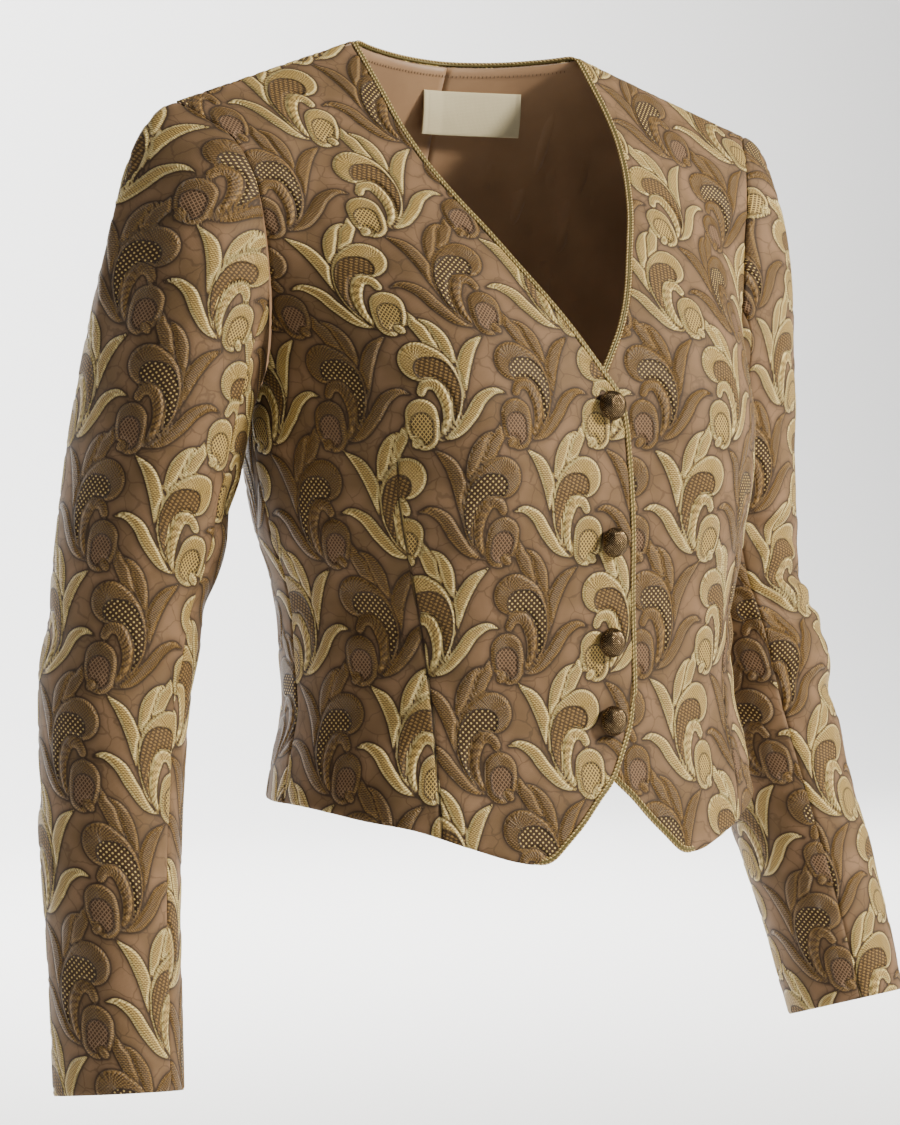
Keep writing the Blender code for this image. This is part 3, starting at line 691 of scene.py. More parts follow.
@dataclass(frozen=True)
class Stroke:
    """A tapered stroke of the brocade: places and half widths along its spine, in millimetres."""

    spine: tuple[tuple[float, float, float], ...]

    def line(self, parts: int = 5) -> np.ndarray:
        """The spine as a fine smooth line of (x, y, half width)."""
        knots = np.array(self.spine)
        place = run_length(knots[:, :2])
        fine = np.arange(len(knots) * parts - parts + 1) / parts
        at = np.interp(fine, np.arange(len(knots)), place)
        if len(knots) < 3:
            return read_points(at, place, knots)
        tangent = np.gradient(knots, place, axis=0)
        k = np.clip(np.searchsorted(place, at, side="right") - 1, 0, len(place) - 2)
        step = (place[k + 1] - place[k])[:, None]
        start, leave, end, arrive = hermite((at - place[k])[:, None] / step)
        return (start * knots[k] + leave * step * tangent[k]
                + end * knots[k + 1] + arrive * step * tangent[k + 1])

    @staticmethod
    def measure(line: np.ndarray, place: np.ndarray) -> tuple[np.ndarray, np.ndarray]:
        """Distance outside a stroke, and the place along its outline, at places in millimetres.

        Args:
            line: The stroke's fine line.
            place: Places of shape (n, 2).

        Returns:
            The signed distance and the length along the outline.
        """
        start = line[:-1]
        run = line[1:, :2] - start[:, :2]
        length = np.maximum(np.linalg.norm(run, axis=1), 1e-6)
        before = np.concatenate([[0.0], np.cumsum(length)[:-1]])
        away = place[:, None] - start[None, :, :2]
        t = np.clip(np.sum(away * run, axis=-1) / length ** 2, 0.0, 1.0)
        gap = np.linalg.norm(away - t[..., None] * run, axis=-1)
        half = start[:, 2] + (line[1:, 2] - start[:, 2]) * t
        distance = gap - half
        best = np.argmin(distance, axis=1)
        index = np.arange(len(place))
        near_t = t[index, best]
        along = before[best] + near_t * length[best]
        direction = run[best] / length[best][:, None]
        offset = place - (start[best, :2] + near_t[:, None] * run[best])
        forward = np.sum(offset * direction, axis=1)
        sideways = np.abs(offset[:, 0] * direction[:, 1] - offset[:, 1] * direction[:, 0])
        turn = np.arctan2(forward, sideways + 1e-6)
        at_end = (best == len(start) - 1) & (near_t >= 1.0) | (best == 0) & (near_t <= 0.0)
        along = along + np.where(at_end, turn * half[index, best], 0.0)
        return distance[index, best], along


@dataclass(frozen=True)
class Figure:
    """One shape of the sprig, with the plain core that its rim goes round."""

    shape: Stroke
    core: Stroke | None = None
    is_bud: bool = False


@dataclass
class BrocadeRepeat:
    """The brocade's repeat: curled leaves and buds in columns, gold and brown by turns.

    Distances are worked out once over one repeat, in millimetres, and are then
    read at any place on the cloth.
    """

    column_width: float = 57.0
    pitch: float = 70.0
    mirror_line: float = -4.0
    outline: float = 0.9
    grain: float = 0.5
    reach: float = 9.0
    fields: dict[str, np.ndarray] = field(default_factory=dict)

    SPRIG = (
        Figure(Stroke(((21.4, 40, 0.7), (16.6, 54.5, 2.3), (9.6, 70.5, 4.2), (2.4, 83, 3.0),
                       (-2.5, 95, 0.4)))),
        Figure(Stroke(((21.6, 46, 0.7), (21.2, 58, 2.8), (17.2, 71.5, 3.6), (12.4, 79, 1.8),
                       (7.5, 82, 0.4)))),
        Figure(Stroke(((22.6, 25, 0.8), (25.0, 38, 2.9), (28.0, 51.5, 4.2), (34.0, 63.5, 3.6),
                       (42.5, 71, 0.5)))),
        Figure(Stroke(((7.5, 6.4, 0.6), (19.0, 10.8, 2.7), (28.2, 21, 3.8), (36.2, 32, 3.5),
                       (45.0, 36, 1.9), (50.5, 34.6, 0.4)))),
        Figure(Stroke(((12.0, 9, 0.5), (16.6, 17, 2.7), (19.0, 28, 4.9), (15.8, 43.5, 8.2),
                       (9.0, 51.5, 11.2), (2.4, 54.6, 12.4))),
               Stroke(((13.4, 11, 0.3), (16.6, 18, 2.1), (18.8, 29, 4.3), (15.6, 42.8, 7.3),
                       (10.2, 48.6, 8.6), (6.0, 49.6, 7.6)))),
        Figure(Stroke(((0.6, 35.4, 2.7), (2.8, 39.4, 3.0), (8.6, 40.2, 3.5), (13.0, 33.4, 3.5),
                       (14.6, 22.6, 2.8), (12.6, 13.4, 1.8), (8.6, 7.4, 0.5)))),
        Figure(Stroke(((0.6, 9.4, 8.4), (-0.3, 16, 9.9), (-0.8, 21.6, 9.8))),
               Stroke(((0.0, 10.2, 6.2), (-0.8, 16.4, 6.9))), True),
        Figure(Stroke(((-4.8, 4.6, 2.4), (-3.4, 6.0, 2.6)))),
    )

    def weave(self) -> None:
        """Work out the fields of one repeat."""
        width, tall = 2 * self.column_width, 2 * self.pitch
        columns, rows = int(width / self.grain), int(tall / self.grain)
        x, y = np.meshgrid((np.arange(columns) + 0.5) * width / columns,
                           (np.arange(rows) + 0.5) * tall / rows)
        place = np.stack([x.ravel(), y.ravel()], axis=-1)
        count = len(place)
        self.fields = {"figure": np.full(count, self.reach), "core": np.full(count, self.reach),
                       "seed": np.full(count, self.reach), "rib": np.zeros(count),
                       "tone": np.zeros(count)}
        for tone in (0.0, 1.0):
            for level in range(-2, 3):
                for across in (-1, 0, 1):
                    shift = np.array([across * width + (1.0 - tone) * self.column_width,
                                      level * self.pitch])
                    self.lay_sprig(place, shift, level % 2 == 1, tone)
        for name, value in self.fields.items():
            self.fields[name] = value.reshape(rows, columns)

    def lay_sprig(self, place: np.ndarray, shift: np.ndarray, flip: bool, tone: float) -> None:
        """Lay one sprig on the fields, over what is there."""
        for figure in self.SPRIG:
            line = self.placed(figure.shape, shift, flip)
            low = (line[:, :2] - line[:, 2:]).min(axis=0) - self.reach
            high = (line[:, :2] + line[:, 2:]).max(axis=0) + self.reach
            near = np.flatnonzero(np.all((place > low) & (place < high), axis=1))
            if not len(near):
                continue
            distance, along = Stroke.measure(line, place[near])
            fields = self.fields
            beneath = np.maximum(fields["figure"][near], self.outline - distance)
            inside = distance < self.outline / 2
            fields["figure"][near] = np.minimum(beneath, distance)
            fields["tone"][near] = np.where(distance <= beneath, tone, fields["tone"][near])
            fields["rib"][near] = np.where(inside, along, fields["rib"][near])
            for name in ("core", "seed"):
                fields[name][near] = np.where(inside, self.reach, fields[name][near])
            if figure.core is not None:
                name = "seed" if figure.is_bud else "core"
                deep, _ = Stroke.measure(self.placed(figure.core, shift, flip), place[near])
                fields[name][near] = np.where(inside, deep, fields[name][near])

    def placed(self, stroke: Stroke, shift: np.ndarray, flip: bool) -> np.ndarray:
        """A stroke's line moved, and mirrored where asked."""
        line = stroke.line()
        if flip:
            line[:, 0] = 2 * self.mirror_line - line[:, 0]
        line[:, :2] += shift
        return line

    def read(self, cloth: np.ndarray) -> dict[str, np.ndarray]:
        """Fields at places on the cloth, which are in metres."""
        rows, columns = self.fields["figure"].shape
        x = cloth[..., 0] / MM / (2 * self.column_width) * columns - 0.5
        y = cloth[..., 1] / MM / (2 * self.pitch) * rows - 0.5
        left, low = np.floor(x).astype(int), np.floor(y).astype(int)
        across, up = x - left, y - low
        nearest = np.round(y).astype(int) % rows, np.round(x).astype(int) % columns
        found = {}
        for name, value in self.fields.items():
            if name in ("rib", "tone"):
                found[name] = value[nearest]
                continue
            corners = [value[(low + b) % rows, (left + a) % columns]
                       for b in (0, 1) for a in (0, 1)]
            found[name] = ((corners[0] * (1 - across) + corners[1] * across) * (1 - up)
                           + (corners[2] * (1 - across) + corners[3] * across) * up)
        return found


class Signal:
    """A shader socket that takes part in Python expressions."""

    def __init__(self, graph: "Graph", socket: bpy.types.NodeSocket) -> None:
        """Wrap a socket of a graph."""
        self.graph = graph
        self.socket = socket

    def math(self, operation: str, *others: "Signal | float") -> "Signal":
        """The result of a Math node on this value and others."""
        values = dict(enumerate((self, *others)))
        return self.graph.node("ShaderNodeMath", {"operation": operation}, values)

    def __add__(self, other: "Signal | float") -> "Signal":
        """Sum."""
        return self.math("ADD", other)

    __radd__ = __add__

    def __sub__(self, other: "Signal | float") -> "Signal":
        """Difference."""
        return self.math("SUBTRACT", other)

    def __rsub__(self, other: float) -> "Signal":
        """A number less this value."""
        return self.graph.node("ShaderNodeMath", {"operation": "SUBTRACT"}, {0: other, 1: self})

    def __mul__(self, other: "Signal | float") -> "Signal":
        """Product."""
        return self.math("MULTIPLY", other)

    def __truediv__(self, other: "Signal | float") -> "Signal":
        """Quotient."""
        return self.math("DIVIDE", other)

    def least(self, other: "Signal | float") -> "Signal":
        """The smaller of two values."""
        return self.math("MINIMUM", other)

    def most(self, other: "Signal | float") -> "Signal":
        """The larger of two values."""
        return self.math("MAXIMUM", other)

    def wave(self) -> "Signal":
        """Half a sine wave's range, from 0 to 1, with one turn for each unit."""
        return (self * (2 * math.pi)).math("SINE") * 0.5 + 0.5

    def ramp(self, low: float, high: float) -> "Signal":
        """0 at low and 1 at high, or the other way round, with a soft change between."""
        return self.graph.node(
            "ShaderNodeMapRange", {"interpolation_type": "SMOOTHSTEP", "clamp": True},
            {"Value": self, "From Min": low, "From Max": high, "To Min": 0.0, "To Max": 1.0})


class Graph:
    """A new material and its node tree."""

    def __init__(self, name: str) -> None:
        """Make the material, with only a shader and an output in its tree."""
        self.material = bpy.data.materials.new(name)
        self.material.use_nodes = True
        self.tree = self.material.node_tree
        self.tree.nodes.clear()
        output = self.tree.nodes.new("ShaderNodeOutputMaterial")
        self.shader = self.tree.nodes.new("ShaderNodeBsdfPrincipled")
        self.tree.links.new(self.shader.outputs[0], output.inputs[0])

    def node(self, kind: str, settings: dict | None = None, values: dict | None = None,
             output: int | str = 0) -> Signal:
        """Add a node.

        Args:
            kind: The node's type.
            settings: Properties, set before the sockets.
            values: Numbers, colours or signals for sockets, by name or index.
            output: The output wanted.

        Returns:
            The wanted output.
        """
        node = self.tree.nodes.new(kind)
        for name, value in (settings or {}).items():
            setattr(node, name, value)
        for name, value in (values or {}).items():
            self.feed(node.inputs[name], value)
        return Signal(self, node.outputs[output])

    def feed(self, socket: bpy.types.NodeSocket, value: object) -> None:
        """Set a socket's value, or link it."""
        if isinstance(value, Signal):
            self.tree.links.new(value.socket, socket)
        elif isinstance(value, tuple) and socket.type == "RGBA" and len(value) == 3:
            socket.default_value = (*value, 1.0)
        else:
            socket.default_value = value

    def mark(self, name: str) -> Signal:
        """A number stored on the mesh."""
        return self.node("ShaderNodeAttribute", {"attribute_name": name}, output="Fac")

    def cloth(self) -> tuple[Signal, Signal, Signal]:
        """Places on the cloth in millimetres: across, up, and both as one vector."""
        place = self.node("ShaderNodeUVMap", {"uv_map": "cloth"})
        scaled = self.node("ShaderNodeVectorMath", {"operation": "SCALE"},
                           {0: place, "Scale": 1.0 / MM})
        parts = self.tree.nodes.new("ShaderNodeSeparateXYZ")
        self.feed(parts.inputs[0], scaled)
        return Signal(self, parts.outputs[0]), Signal(self, parts.outputs[1]), scaled

    def noise(self, place: Signal, scale: float, detail: float = 3.0) -> Signal:
        """Smooth noise from 0 to 1."""
        return self.node("ShaderNodeTexNoise", {},
                         {"Vector": place, "Scale": scale, "Detail": detail})

    def blend(self, share: Signal | float, first: object, second: object) -> Signal:
        """First colour where share is 0, second where it is 1."""
        return self.node("ShaderNodeMix", {"data_type": "RGBA", "clamp_factor": True},
                         {0: share, 6: first, 7: second}, output=2)

    def bump(self, height: Signal, strength: float, distance: float = MM) -> Signal:
        """A normal from heights in units of distance."""
        return self.node("ShaderNodeBump", {},
                         {"Height": height, "Strength": strength, "Distance": distance})

    def finish(self, **values: object) -> bpy.types.Material:
        """Feed the shader's sockets, whose spaces are written as underscores.

        Args:
            values: A number, colour or signal for each socket.

        Returns:
            The finished material.
        """
        for name, value in values.items():
            self.feed(self.shader.inputs[name.replace("_", " ")], value)
        return self.material


def crossed(across: Signal, up: Signal, spacing: float, wobble: Signal) -> Signal:
    """Two slanting rows of waves, one on the other."""
    return ((across + up) / spacing + wobble).wave() * ((across - up) / spacing + wobble).wave()


@dataclass(frozen=True)
class BrocadeFinish:
    """Embossed brocade: raised satin figures on a matt ground with a faint crackle; shadow round
    the figures and their cores, and highlights on their edges, are painted.
    """

    name: str = "brocade"
    ground: tuple = (0.256, 0.146, 0.074)
    ground_dark: tuple = (0.155, 0.088, 0.035)
    vein: tuple = (0.055, 0.030, 0.012)
    gold: tuple = (0.620, 0.420, 0.125)
    gold_low: tuple = (0.115, 0.062, 0.011)
    # gold_high: pale gold along the figures' edges, partly a painted highlight.
    gold_high: tuple = (1.000, 0.810, 0.350)
    brown: tuple = (0.045, 0.021, 0.006)
    # brown_high: lighter brown of the threads and the core dashes; along the figures' edges it is
    # partly a painted highlight.
    brown_high: tuple = (0.330, 0.186, 0.048)
    # deep: near-black brown of the core stipple and the dart line, and of the painted shadow round
    # the figures and their cores.
    deep: tuple = (0.024, 0.011, 0.003)
    dot: tuple = (0.640, 0.450, 0.150)
    rib_spacing: float = 1.9

    def material(self) -> bpy.types.Material:
        """Make the material."""
        graph = Graph(self.name)
        across, up, place = graph.cloth()
        figure, core, seed, tone, rib, seam = (
            graph.mark(name) for name in ("figure", "core", "seed", "tone", "rib", "seam"))
        is_gold = tone.ramp(0.35, 0.65)
        inside = figure.ramp(0.18, -0.18)
        in_core = core.ramp(0.15, -0.15) * inside
        in_seed = seed.ramp(0.15, -0.15) * inside
        satin = inside * (1.0 - in_core) * (1.0 - in_seed)
        fleck = graph.noise(place, 1.7, 2.0)
        patch = graph.noise(place, 0.035, 2.0)
        slant = across * 0.35 + up * 0.55
        ribs = ((rib + slant) / self.rib_spacing + fleck * 0.35).wave()
        purl = crossed(across, up, 2.1, fleck * 0.5)
        ground = self.ground_colour(graph, place, across, up, fleck, patch)
        turn = (ribs * 0.50 + purl * 0.75 + fleck * 0.35 - 0.10) * (0.55 + patch * 0.80)
        gold = graph.blend(turn, self.gold_low, self.gold)
        # Pale band just inside each figure's edge, in gold_high and brown_high: partly a pale edge
        # thread, partly a painted highlight.
        pale_edge_and_highlight = figure.ramp(-2.0, -1.0) * figure.ramp(-0.1, -0.5) * (0.15 + ribs * 0.85)
        gold = graph.blend(pale_edge_and_highlight * 0.80, gold, self.gold_high)
        brown = graph.blend(turn * 0.60 + pale_edge_and_highlight * 0.45, self.brown, self.brown_high)
        threads = graph.blend(is_gold, brown, gold)
        core_colour, core_height = self.core_weave(graph, across, up, fleck, is_gold)
        seed_colour, seed_height = self.seed_weave(graph, across, up, fleck, is_gold)
        colour = graph.blend(satin, ground, threads)
        colour = graph.blend(in_core, colour, core_colour)
        colour = graph.blend(in_seed, colour, seed_colour)
        # Dark band on the ground round every figure: a narrow line that is partly a dark outline
        # and partly painted shade, and a wider painted shadow out to about 4 mm.
        rim = (figure.ramp(1.6, 0.3) * 0.50 + figure.ramp(4.2, 0.3) * 0.40) * (1.0 - inside)
        # Dark ring round each sunken core and bud centre: partly a dark outline, partly painted
        # shade in the recess.
        inner = core.least(seed).ramp(0.8, 0.1) * core.least(seed).ramp(-1.6, 0.0) * inside
        colour = graph.blend(rim, colour, self.deep)
        colour = graph.blend(inner * 0.70, colour, self.deep)
        line = seam.math("ABSOLUTE")
        colour = graph.blend(line.ramp(1.1, 0.4) * 0.90, colour, self.deep)
        pile = figure.ramp(0.3, -2.2) * 1.25
        dip = in_core * (core.ramp(0.0, -1.5) * 0.8) + in_seed * (seed.ramp(0.0, -1.5) * 0.7)
        thread = (ribs * 0.30 + purl * 0.22 - 0.2) * satin
        weave = ((across / 0.7).wave() * (up / 0.7).wave() - 0.25) * (1.0 - inside) * 0.10
        groove = line.ramp(1.6, 0.2) * 0.9
        height = (pile - dip + thread + weave + in_core * core_height + in_seed * seed_height
                  - groove)
        return graph.finish(
            Base_Color=colour,
            Roughness=0.66 - satin * 0.20 + fleck * 0.10,
            Normal=graph.bump(height, 0.85),
            Specular_IOR_Level=0.38, Sheen_Weight=0.03, Sheen_Roughness=0.45)

    def ground_colour(self, graph: Graph, place: Signal, across: Signal, up: Signal,
                      fleck: Signal, patch: Signal) -> Signal:
        """Taupe ground, patchy, with a crackle of fine lines."""
        wander = graph.node("ShaderNodeTexNoise", {}, {"Vector": place, "Scale": 0.12}, 1)
        bent = graph.node("ShaderNodeVectorMath", {"operation": "MULTIPLY_ADD"},
                          {0: wander, 1: (6.0, 6.0, 6.0), 2: place})
        crackle = graph.node("ShaderNodeTexVoronoi", {"feature": "DISTANCE_TO_EDGE"},
                             {"Vector": bent, "Scale": 0.075}, "Distance")
        veins = crackle.ramp(0.045, 0.012)
        base = graph.blend(patch.ramp(0.30, 0.70), self.ground_dark, self.ground)
        grain = (across / 0.8).wave() * (up / 0.8).wave()
        base = graph.blend(grain * 0.30 + fleck * 0.20, base, self.ground_dark)
        return graph.blend(veins * 0.42, base, self.vein)

    def core_weave(self, graph: Graph, across: Signal, up: Signal, fleck: Signal,
                   is_gold: Signal) -> tuple[Signal, Signal]:
        """Inside of a curled leaf: brown dashes on gold ones, pale dots on brown ones."""
        dashes = (((across * 0.5 + up) / 2.3 + fleck * 0.9).wave()
                  * ((across - up * 0.3) / 2.9 + fleck * 1.3).wave())
        stippled = graph.blend(dashes.ramp(0.05, 0.70) * 0.75 + 0.12, self.deep, self.brown_high)
        dots = crossed(across, up, 3.5, fleck * 0.22)
        dotted = graph.blend(dots.ramp(0.35, 0.78), self.brown, self.dot)
        height = dots.ramp(0.35, 0.80) * (1.0 - is_gold) * 0.40 + dashes * is_gold * 0.18
        return graph.blend(is_gold, dotted, stippled), height

    def seed_weave(self, graph: Graph, across: Signal, up: Signal, fleck: Signal,
                   is_gold: Signal) -> tuple[Signal, Signal]:
        """Inside of a bud: a slanting lattice."""
        first = ((across + up * 0.8) / 2.4 + fleck * 0.15).wave()
        second = ((across - up * 0.8) / 2.4 + fleck * 0.15).wave()
        lattice = first.most(second).ramp(0.62, 0.98)
        lit = graph.blend(is_gold, self.ground, self.gold)
        return graph.blend(lattice * 0.85 + fleck * 0.15, self.brown, lit), lattice * 0.22


@dataclass(frozen=True)
class ClothFinish:
    """Plain woven cloth: the lining's satin, the label, or the brocade's wrong side."""

    name: str
    colour: tuple
    colour_dark: tuple
    roughness: float
    thread: float
    relief: float
    sheen: float = 0.1

    def material(self) -> bpy.types.Material:
        """Make the material."""
        graph = Graph(self.name)
        across, up, place = graph.cloth()
        patch = graph.noise(place, 0.03, 3.0)
        fleck = graph.noise(place, 1.5, 2.0)
        grain = (across / self.thread).wave() * 0.5 + (up / self.thread).wave() * 0.5
        share = patch.ramp(0.3, 0.7) * 0.45 + grain * 0.30 + fleck * 0.25
        return graph.finish(
            Base_Color=graph.blend(share, self.colour_dark, self.colour),
            Roughness=self.roughness + fleck * 0.08,
            Normal=graph.bump(grain * self.relief + fleck * self.relief, 0.6),
            Sheen_Weight=self.sheen, Specular_IOR_Level=0.35)


@dataclass(frozen=True)
class CordFinish:
    """Metallic thread of the piping, with fine strands along it."""

    name: str
    colour: tuple
    colour_dark: tuple
    roughness: float = 0.42
    metallic: float = 0.25

    def material(self) -> bpy.types.Material:
        """Make the material."""
        graph = Graph(self.name)
        place = graph.node("ShaderNodeTexCoord", output="Object")
        fine = graph.noise(place, 1400.0, 2.0)
        slow = graph.noise(place, 60.0, 2.0)
        # The second strand of each rope is painted darker, as painted shade between the turns of
        # the twist.
        shade = fine * 0.6 + slow * 0.4 - graph.mark("strand") * 1.1
        return graph.finish(
            Base_Color=graph.blend(shade, self.colour_dark, self.colour),
            Roughness=self.roughness + fine * 0.15,
            Normal=graph.bump(fine, 0.5, FINE_BUMP), Metallic=self.metallic)


@dataclass(frozen=True)
class BrassFinish:
    """Dark antique brass, brighter where it is rubbed."""

    name: str = "antique_brass"
    bright: tuple = (0.520, 0.370, 0.190)
    worn: tuple = (0.095, 0.062, 0.033)
    dark: tuple = (0.008, 0.005, 0.003)

    def material(self) -> bpy.types.Material:
        """Make the material."""
        graph = Graph(self.name)
        height = graph.mark("relief")
        place = graph.node("ShaderNodeTexCoord", output="Object")
        fine = graph.noise(place, 900.0, 3.0)
        slow = graph.noise(place, 220.0, 2.0)
        low = graph.blend(height.ramp(0.05, 0.55), self.dark, self.worn)
        colour = graph.blend(height.ramp(0.55, 1.0) * (0.35 + slow * 0.5), low, self.bright)
        return graph.finish(
            Base_Color=colour,
            Roughness=0.40 - height * 0.16 + fine * 0.10,
            Normal=graph.bump(fine, 0.35, FINE_BUMP), Metallic=1.0)


@dataclass(frozen=True)
class StudioFinish:
    """Matt pale surface of the studio."""

    name: str = "studio_white"
    colour: tuple = (0.86, 0.86, 0.86)
    colour_pale: tuple = (0.88, 0.88, 0.88)

    def material(self) -> bpy.types.Material:
        """Make the material."""
        graph = Graph(self.name)
        place = graph.node("ShaderNodeTexCoord", output="Object")
        grain = graph.noise(place, 3.0, 2.0)
        return graph.finish(Base_Color=graph.blend(grain * 0.3, self.colour, self.colour_pale),
                            Roughness=0.9)


@dataclass
class Workroom:
    """What all the pieces share: the materials and the making of meshes."""

    brocade: bpy.types.Material
    wrong_side: bpy.types.Material
    satin: bpy.types.Material
    cream: bpy.types.Material
    gold: bpy.types.Material
    olive: bpy.types.Material
    thread: bpy.types.Material
    brass: bpy.types.Material

    @classmethod
    def open(cls) -> "Workroom":
        """Make every material."""
        return cls(
            brocade=BrocadeFinish().material(),
            wrong_side=ClothFinish("wrong_side", (0.16, 0.10, 0.06), (0.09, 0.055, 0.032),
                                   0.62, 0.9, 0.05).material(),
            satin=ClothFinish("satin", (0.370, 0.218, 0.112), (0.260, 0.148, 0.074),
                              0.42, 0.5, 0.02, 0.25).material(),
            cream=ClothFinish("cream_cloth", (0.64, 0.565, 0.36), (0.53, 0.455, 0.28),
                              0.60, 0.9, 0.10).material(),
            gold=CordFinish("gold_cord", (0.95, 0.74, 0.32), (0.17, 0.105, 0.025)).material(),
            olive=CordFinish("olive_cord", (0.16, 0.125, 0.028), (0.07, 0.053, 0.012)).material(),
            thread=CordFinish("brown_thread", (0.20, 0.12, 0.06), (0.10, 0.06, 0.03),
                              0.6, 0.0).material(),
            brass=BrassFinish().material(),
        )

    def mesh(self, name: str, points: np.ndarray, faces: list, materials: list,
             face_materials: np.ndarray | None = None) -> bpy.types.Object:
        """Add a smooth mesh object at the origin."""
        mesh = bpy.data.meshes.new(name)
        mesh.from_pydata(points.tolist(), [], faces)
        for material in materials:
            mesh.materials.append(material)
        if face_materials is not None:
            mesh.polygons.foreach_set("material_index", face_materials.astype(np.int32))
        mesh.shade_smooth()
        mesh.update()
        return add_object(name, mesh)

    def shell(self, name: str, panel: Panel, thickness: float,
              materials: list) -> bpy.types.Object:
        """A closed shell: a fine outer face, a turned edge and a coarser inner face.

        Args:
            name: The object's name.
            panel: The outer face.
            thickness: The cloth's thickness.
            materials: The outer and the inner material.

        Returns:
            The object, with its cloth coordinates and marks.
        """
        rows, columns = panel.points.shape[:2]
        outer = panel.points.reshape(-1, 3)
        inner = (panel.points - panel.normals * thickness).reshape(-1, 3)
        index = np.arange(rows * columns).reshape(rows, columns)
        quads = np.stack([index[:-1, :-1], index[:-1, 1:], index[1:, 1:], index[1:, :-1]], axis=-1)
        faces = quads.reshape(-1, 4).tolist()
        outer_count = len(faces)
        border = np.concatenate([index[0], index[1:, -1], index[-1, -2::-1], index[-2:0:-1, 0]])
        kept = {}

        def inner_vertex(old: int) -> int:
            return kept.setdefault(int(old), rows * columns + len(kept))

        for first, second in zip(border, np.roll(border, -1)):
            faces.append([int(second), int(first), inner_vertex(first), inner_vertex(second)])
        rim_count = len(faces)
        for low in range(0, rows - 1, INNER_STRIDE):
            for left in range(0, columns - 1, INNER_STRIDE):
                high, right = low + INNER_STRIDE, left + INNER_STRIDE
                sides = ((index[low, left:right], low == 0),
                         (index[low:high, right], right == columns - 1),
                         (index[high, right:left:-1], high == rows - 1),
                         (index[high:low:-1, left], left == 0))
                loop = [old for line, at_rim in sides
                        for old in line[::1 if at_rim else INNER_STRIDE]]
                faces.append([inner_vertex(old) for old in reversed(loop)])
        points = np.concatenate([outer, inner[list(kept)]])
        slots = np.ones(len(faces))
        slots[:rim_count] = 0
        item = self.mesh(name, points, faces, materials, slots)
        source = np.concatenate([np.arange(rows * columns), np.array(list(kept))])
        cloth = panel.cloth.reshape(-1, 2)[source]
        layer = item.data.uv_layers.new(name="cloth")
        corner = np.empty(len(item.data.loops), dtype=np.int32)
        item.data.loops.foreach_get("vertex_index", corner)
        layer.data.foreach_set("uv", cloth[corner].astype(np.float32).ravel())
        for mark, values in panel.marks.items():
            attribute = item.data.attributes.new(mark, "FLOAT", "POINT")
            attribute.data.foreach_set("value", values.reshape(-1)[source].astype(np.float32))
        self.face_outwards(item, outer_count, panel)
        return item

    def face_outwards(self, item: bpy.types.Object, outer_count: int, panel: Panel) -> None:
        """Turn every face over where the outer ones point into the jacket."""
        middle = item.data.polygons[outer_count // 2]
        normal = panel.normals.reshape(-1, 3)[middle.vertices[0]]
        if middle.normal.dot(Vector(normal)) < 0:
            item.data.flip_normals()

    def place(self, item: bpy.types.Object, slot: str, *nodes: str) -> bpy.types.Object:
        """Ride a piece on the jacket, and let it stand for CAD nodes."""
        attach(item, "root")
        if nodes:
            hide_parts(*nodes)
        log.info("%s: %d faces", item.name, len(item.data.polygons))
        return item

    def sheet(self, node: str, slot: str, panel: Panel, thickness: float, materials: list,
              flat: tuple[float, float], area: float) -> None:
        """Make a draped piece that stands for a CAD node.

        Args:
            node: The node's name.
            slot: Not used.
            panel: The outer face.
            thickness: The cloth's thickness.
            materials: The outer and the inner material.
            flat: Width and height of the piece when laid flat; not used.
            area: Its area when laid flat.
        """
        item = self.shell(f"{node}_cloth", panel, thickness, materials)
        self.place(item, slot, node)
        log.info("%s: flat area %.4f m2", node, area)


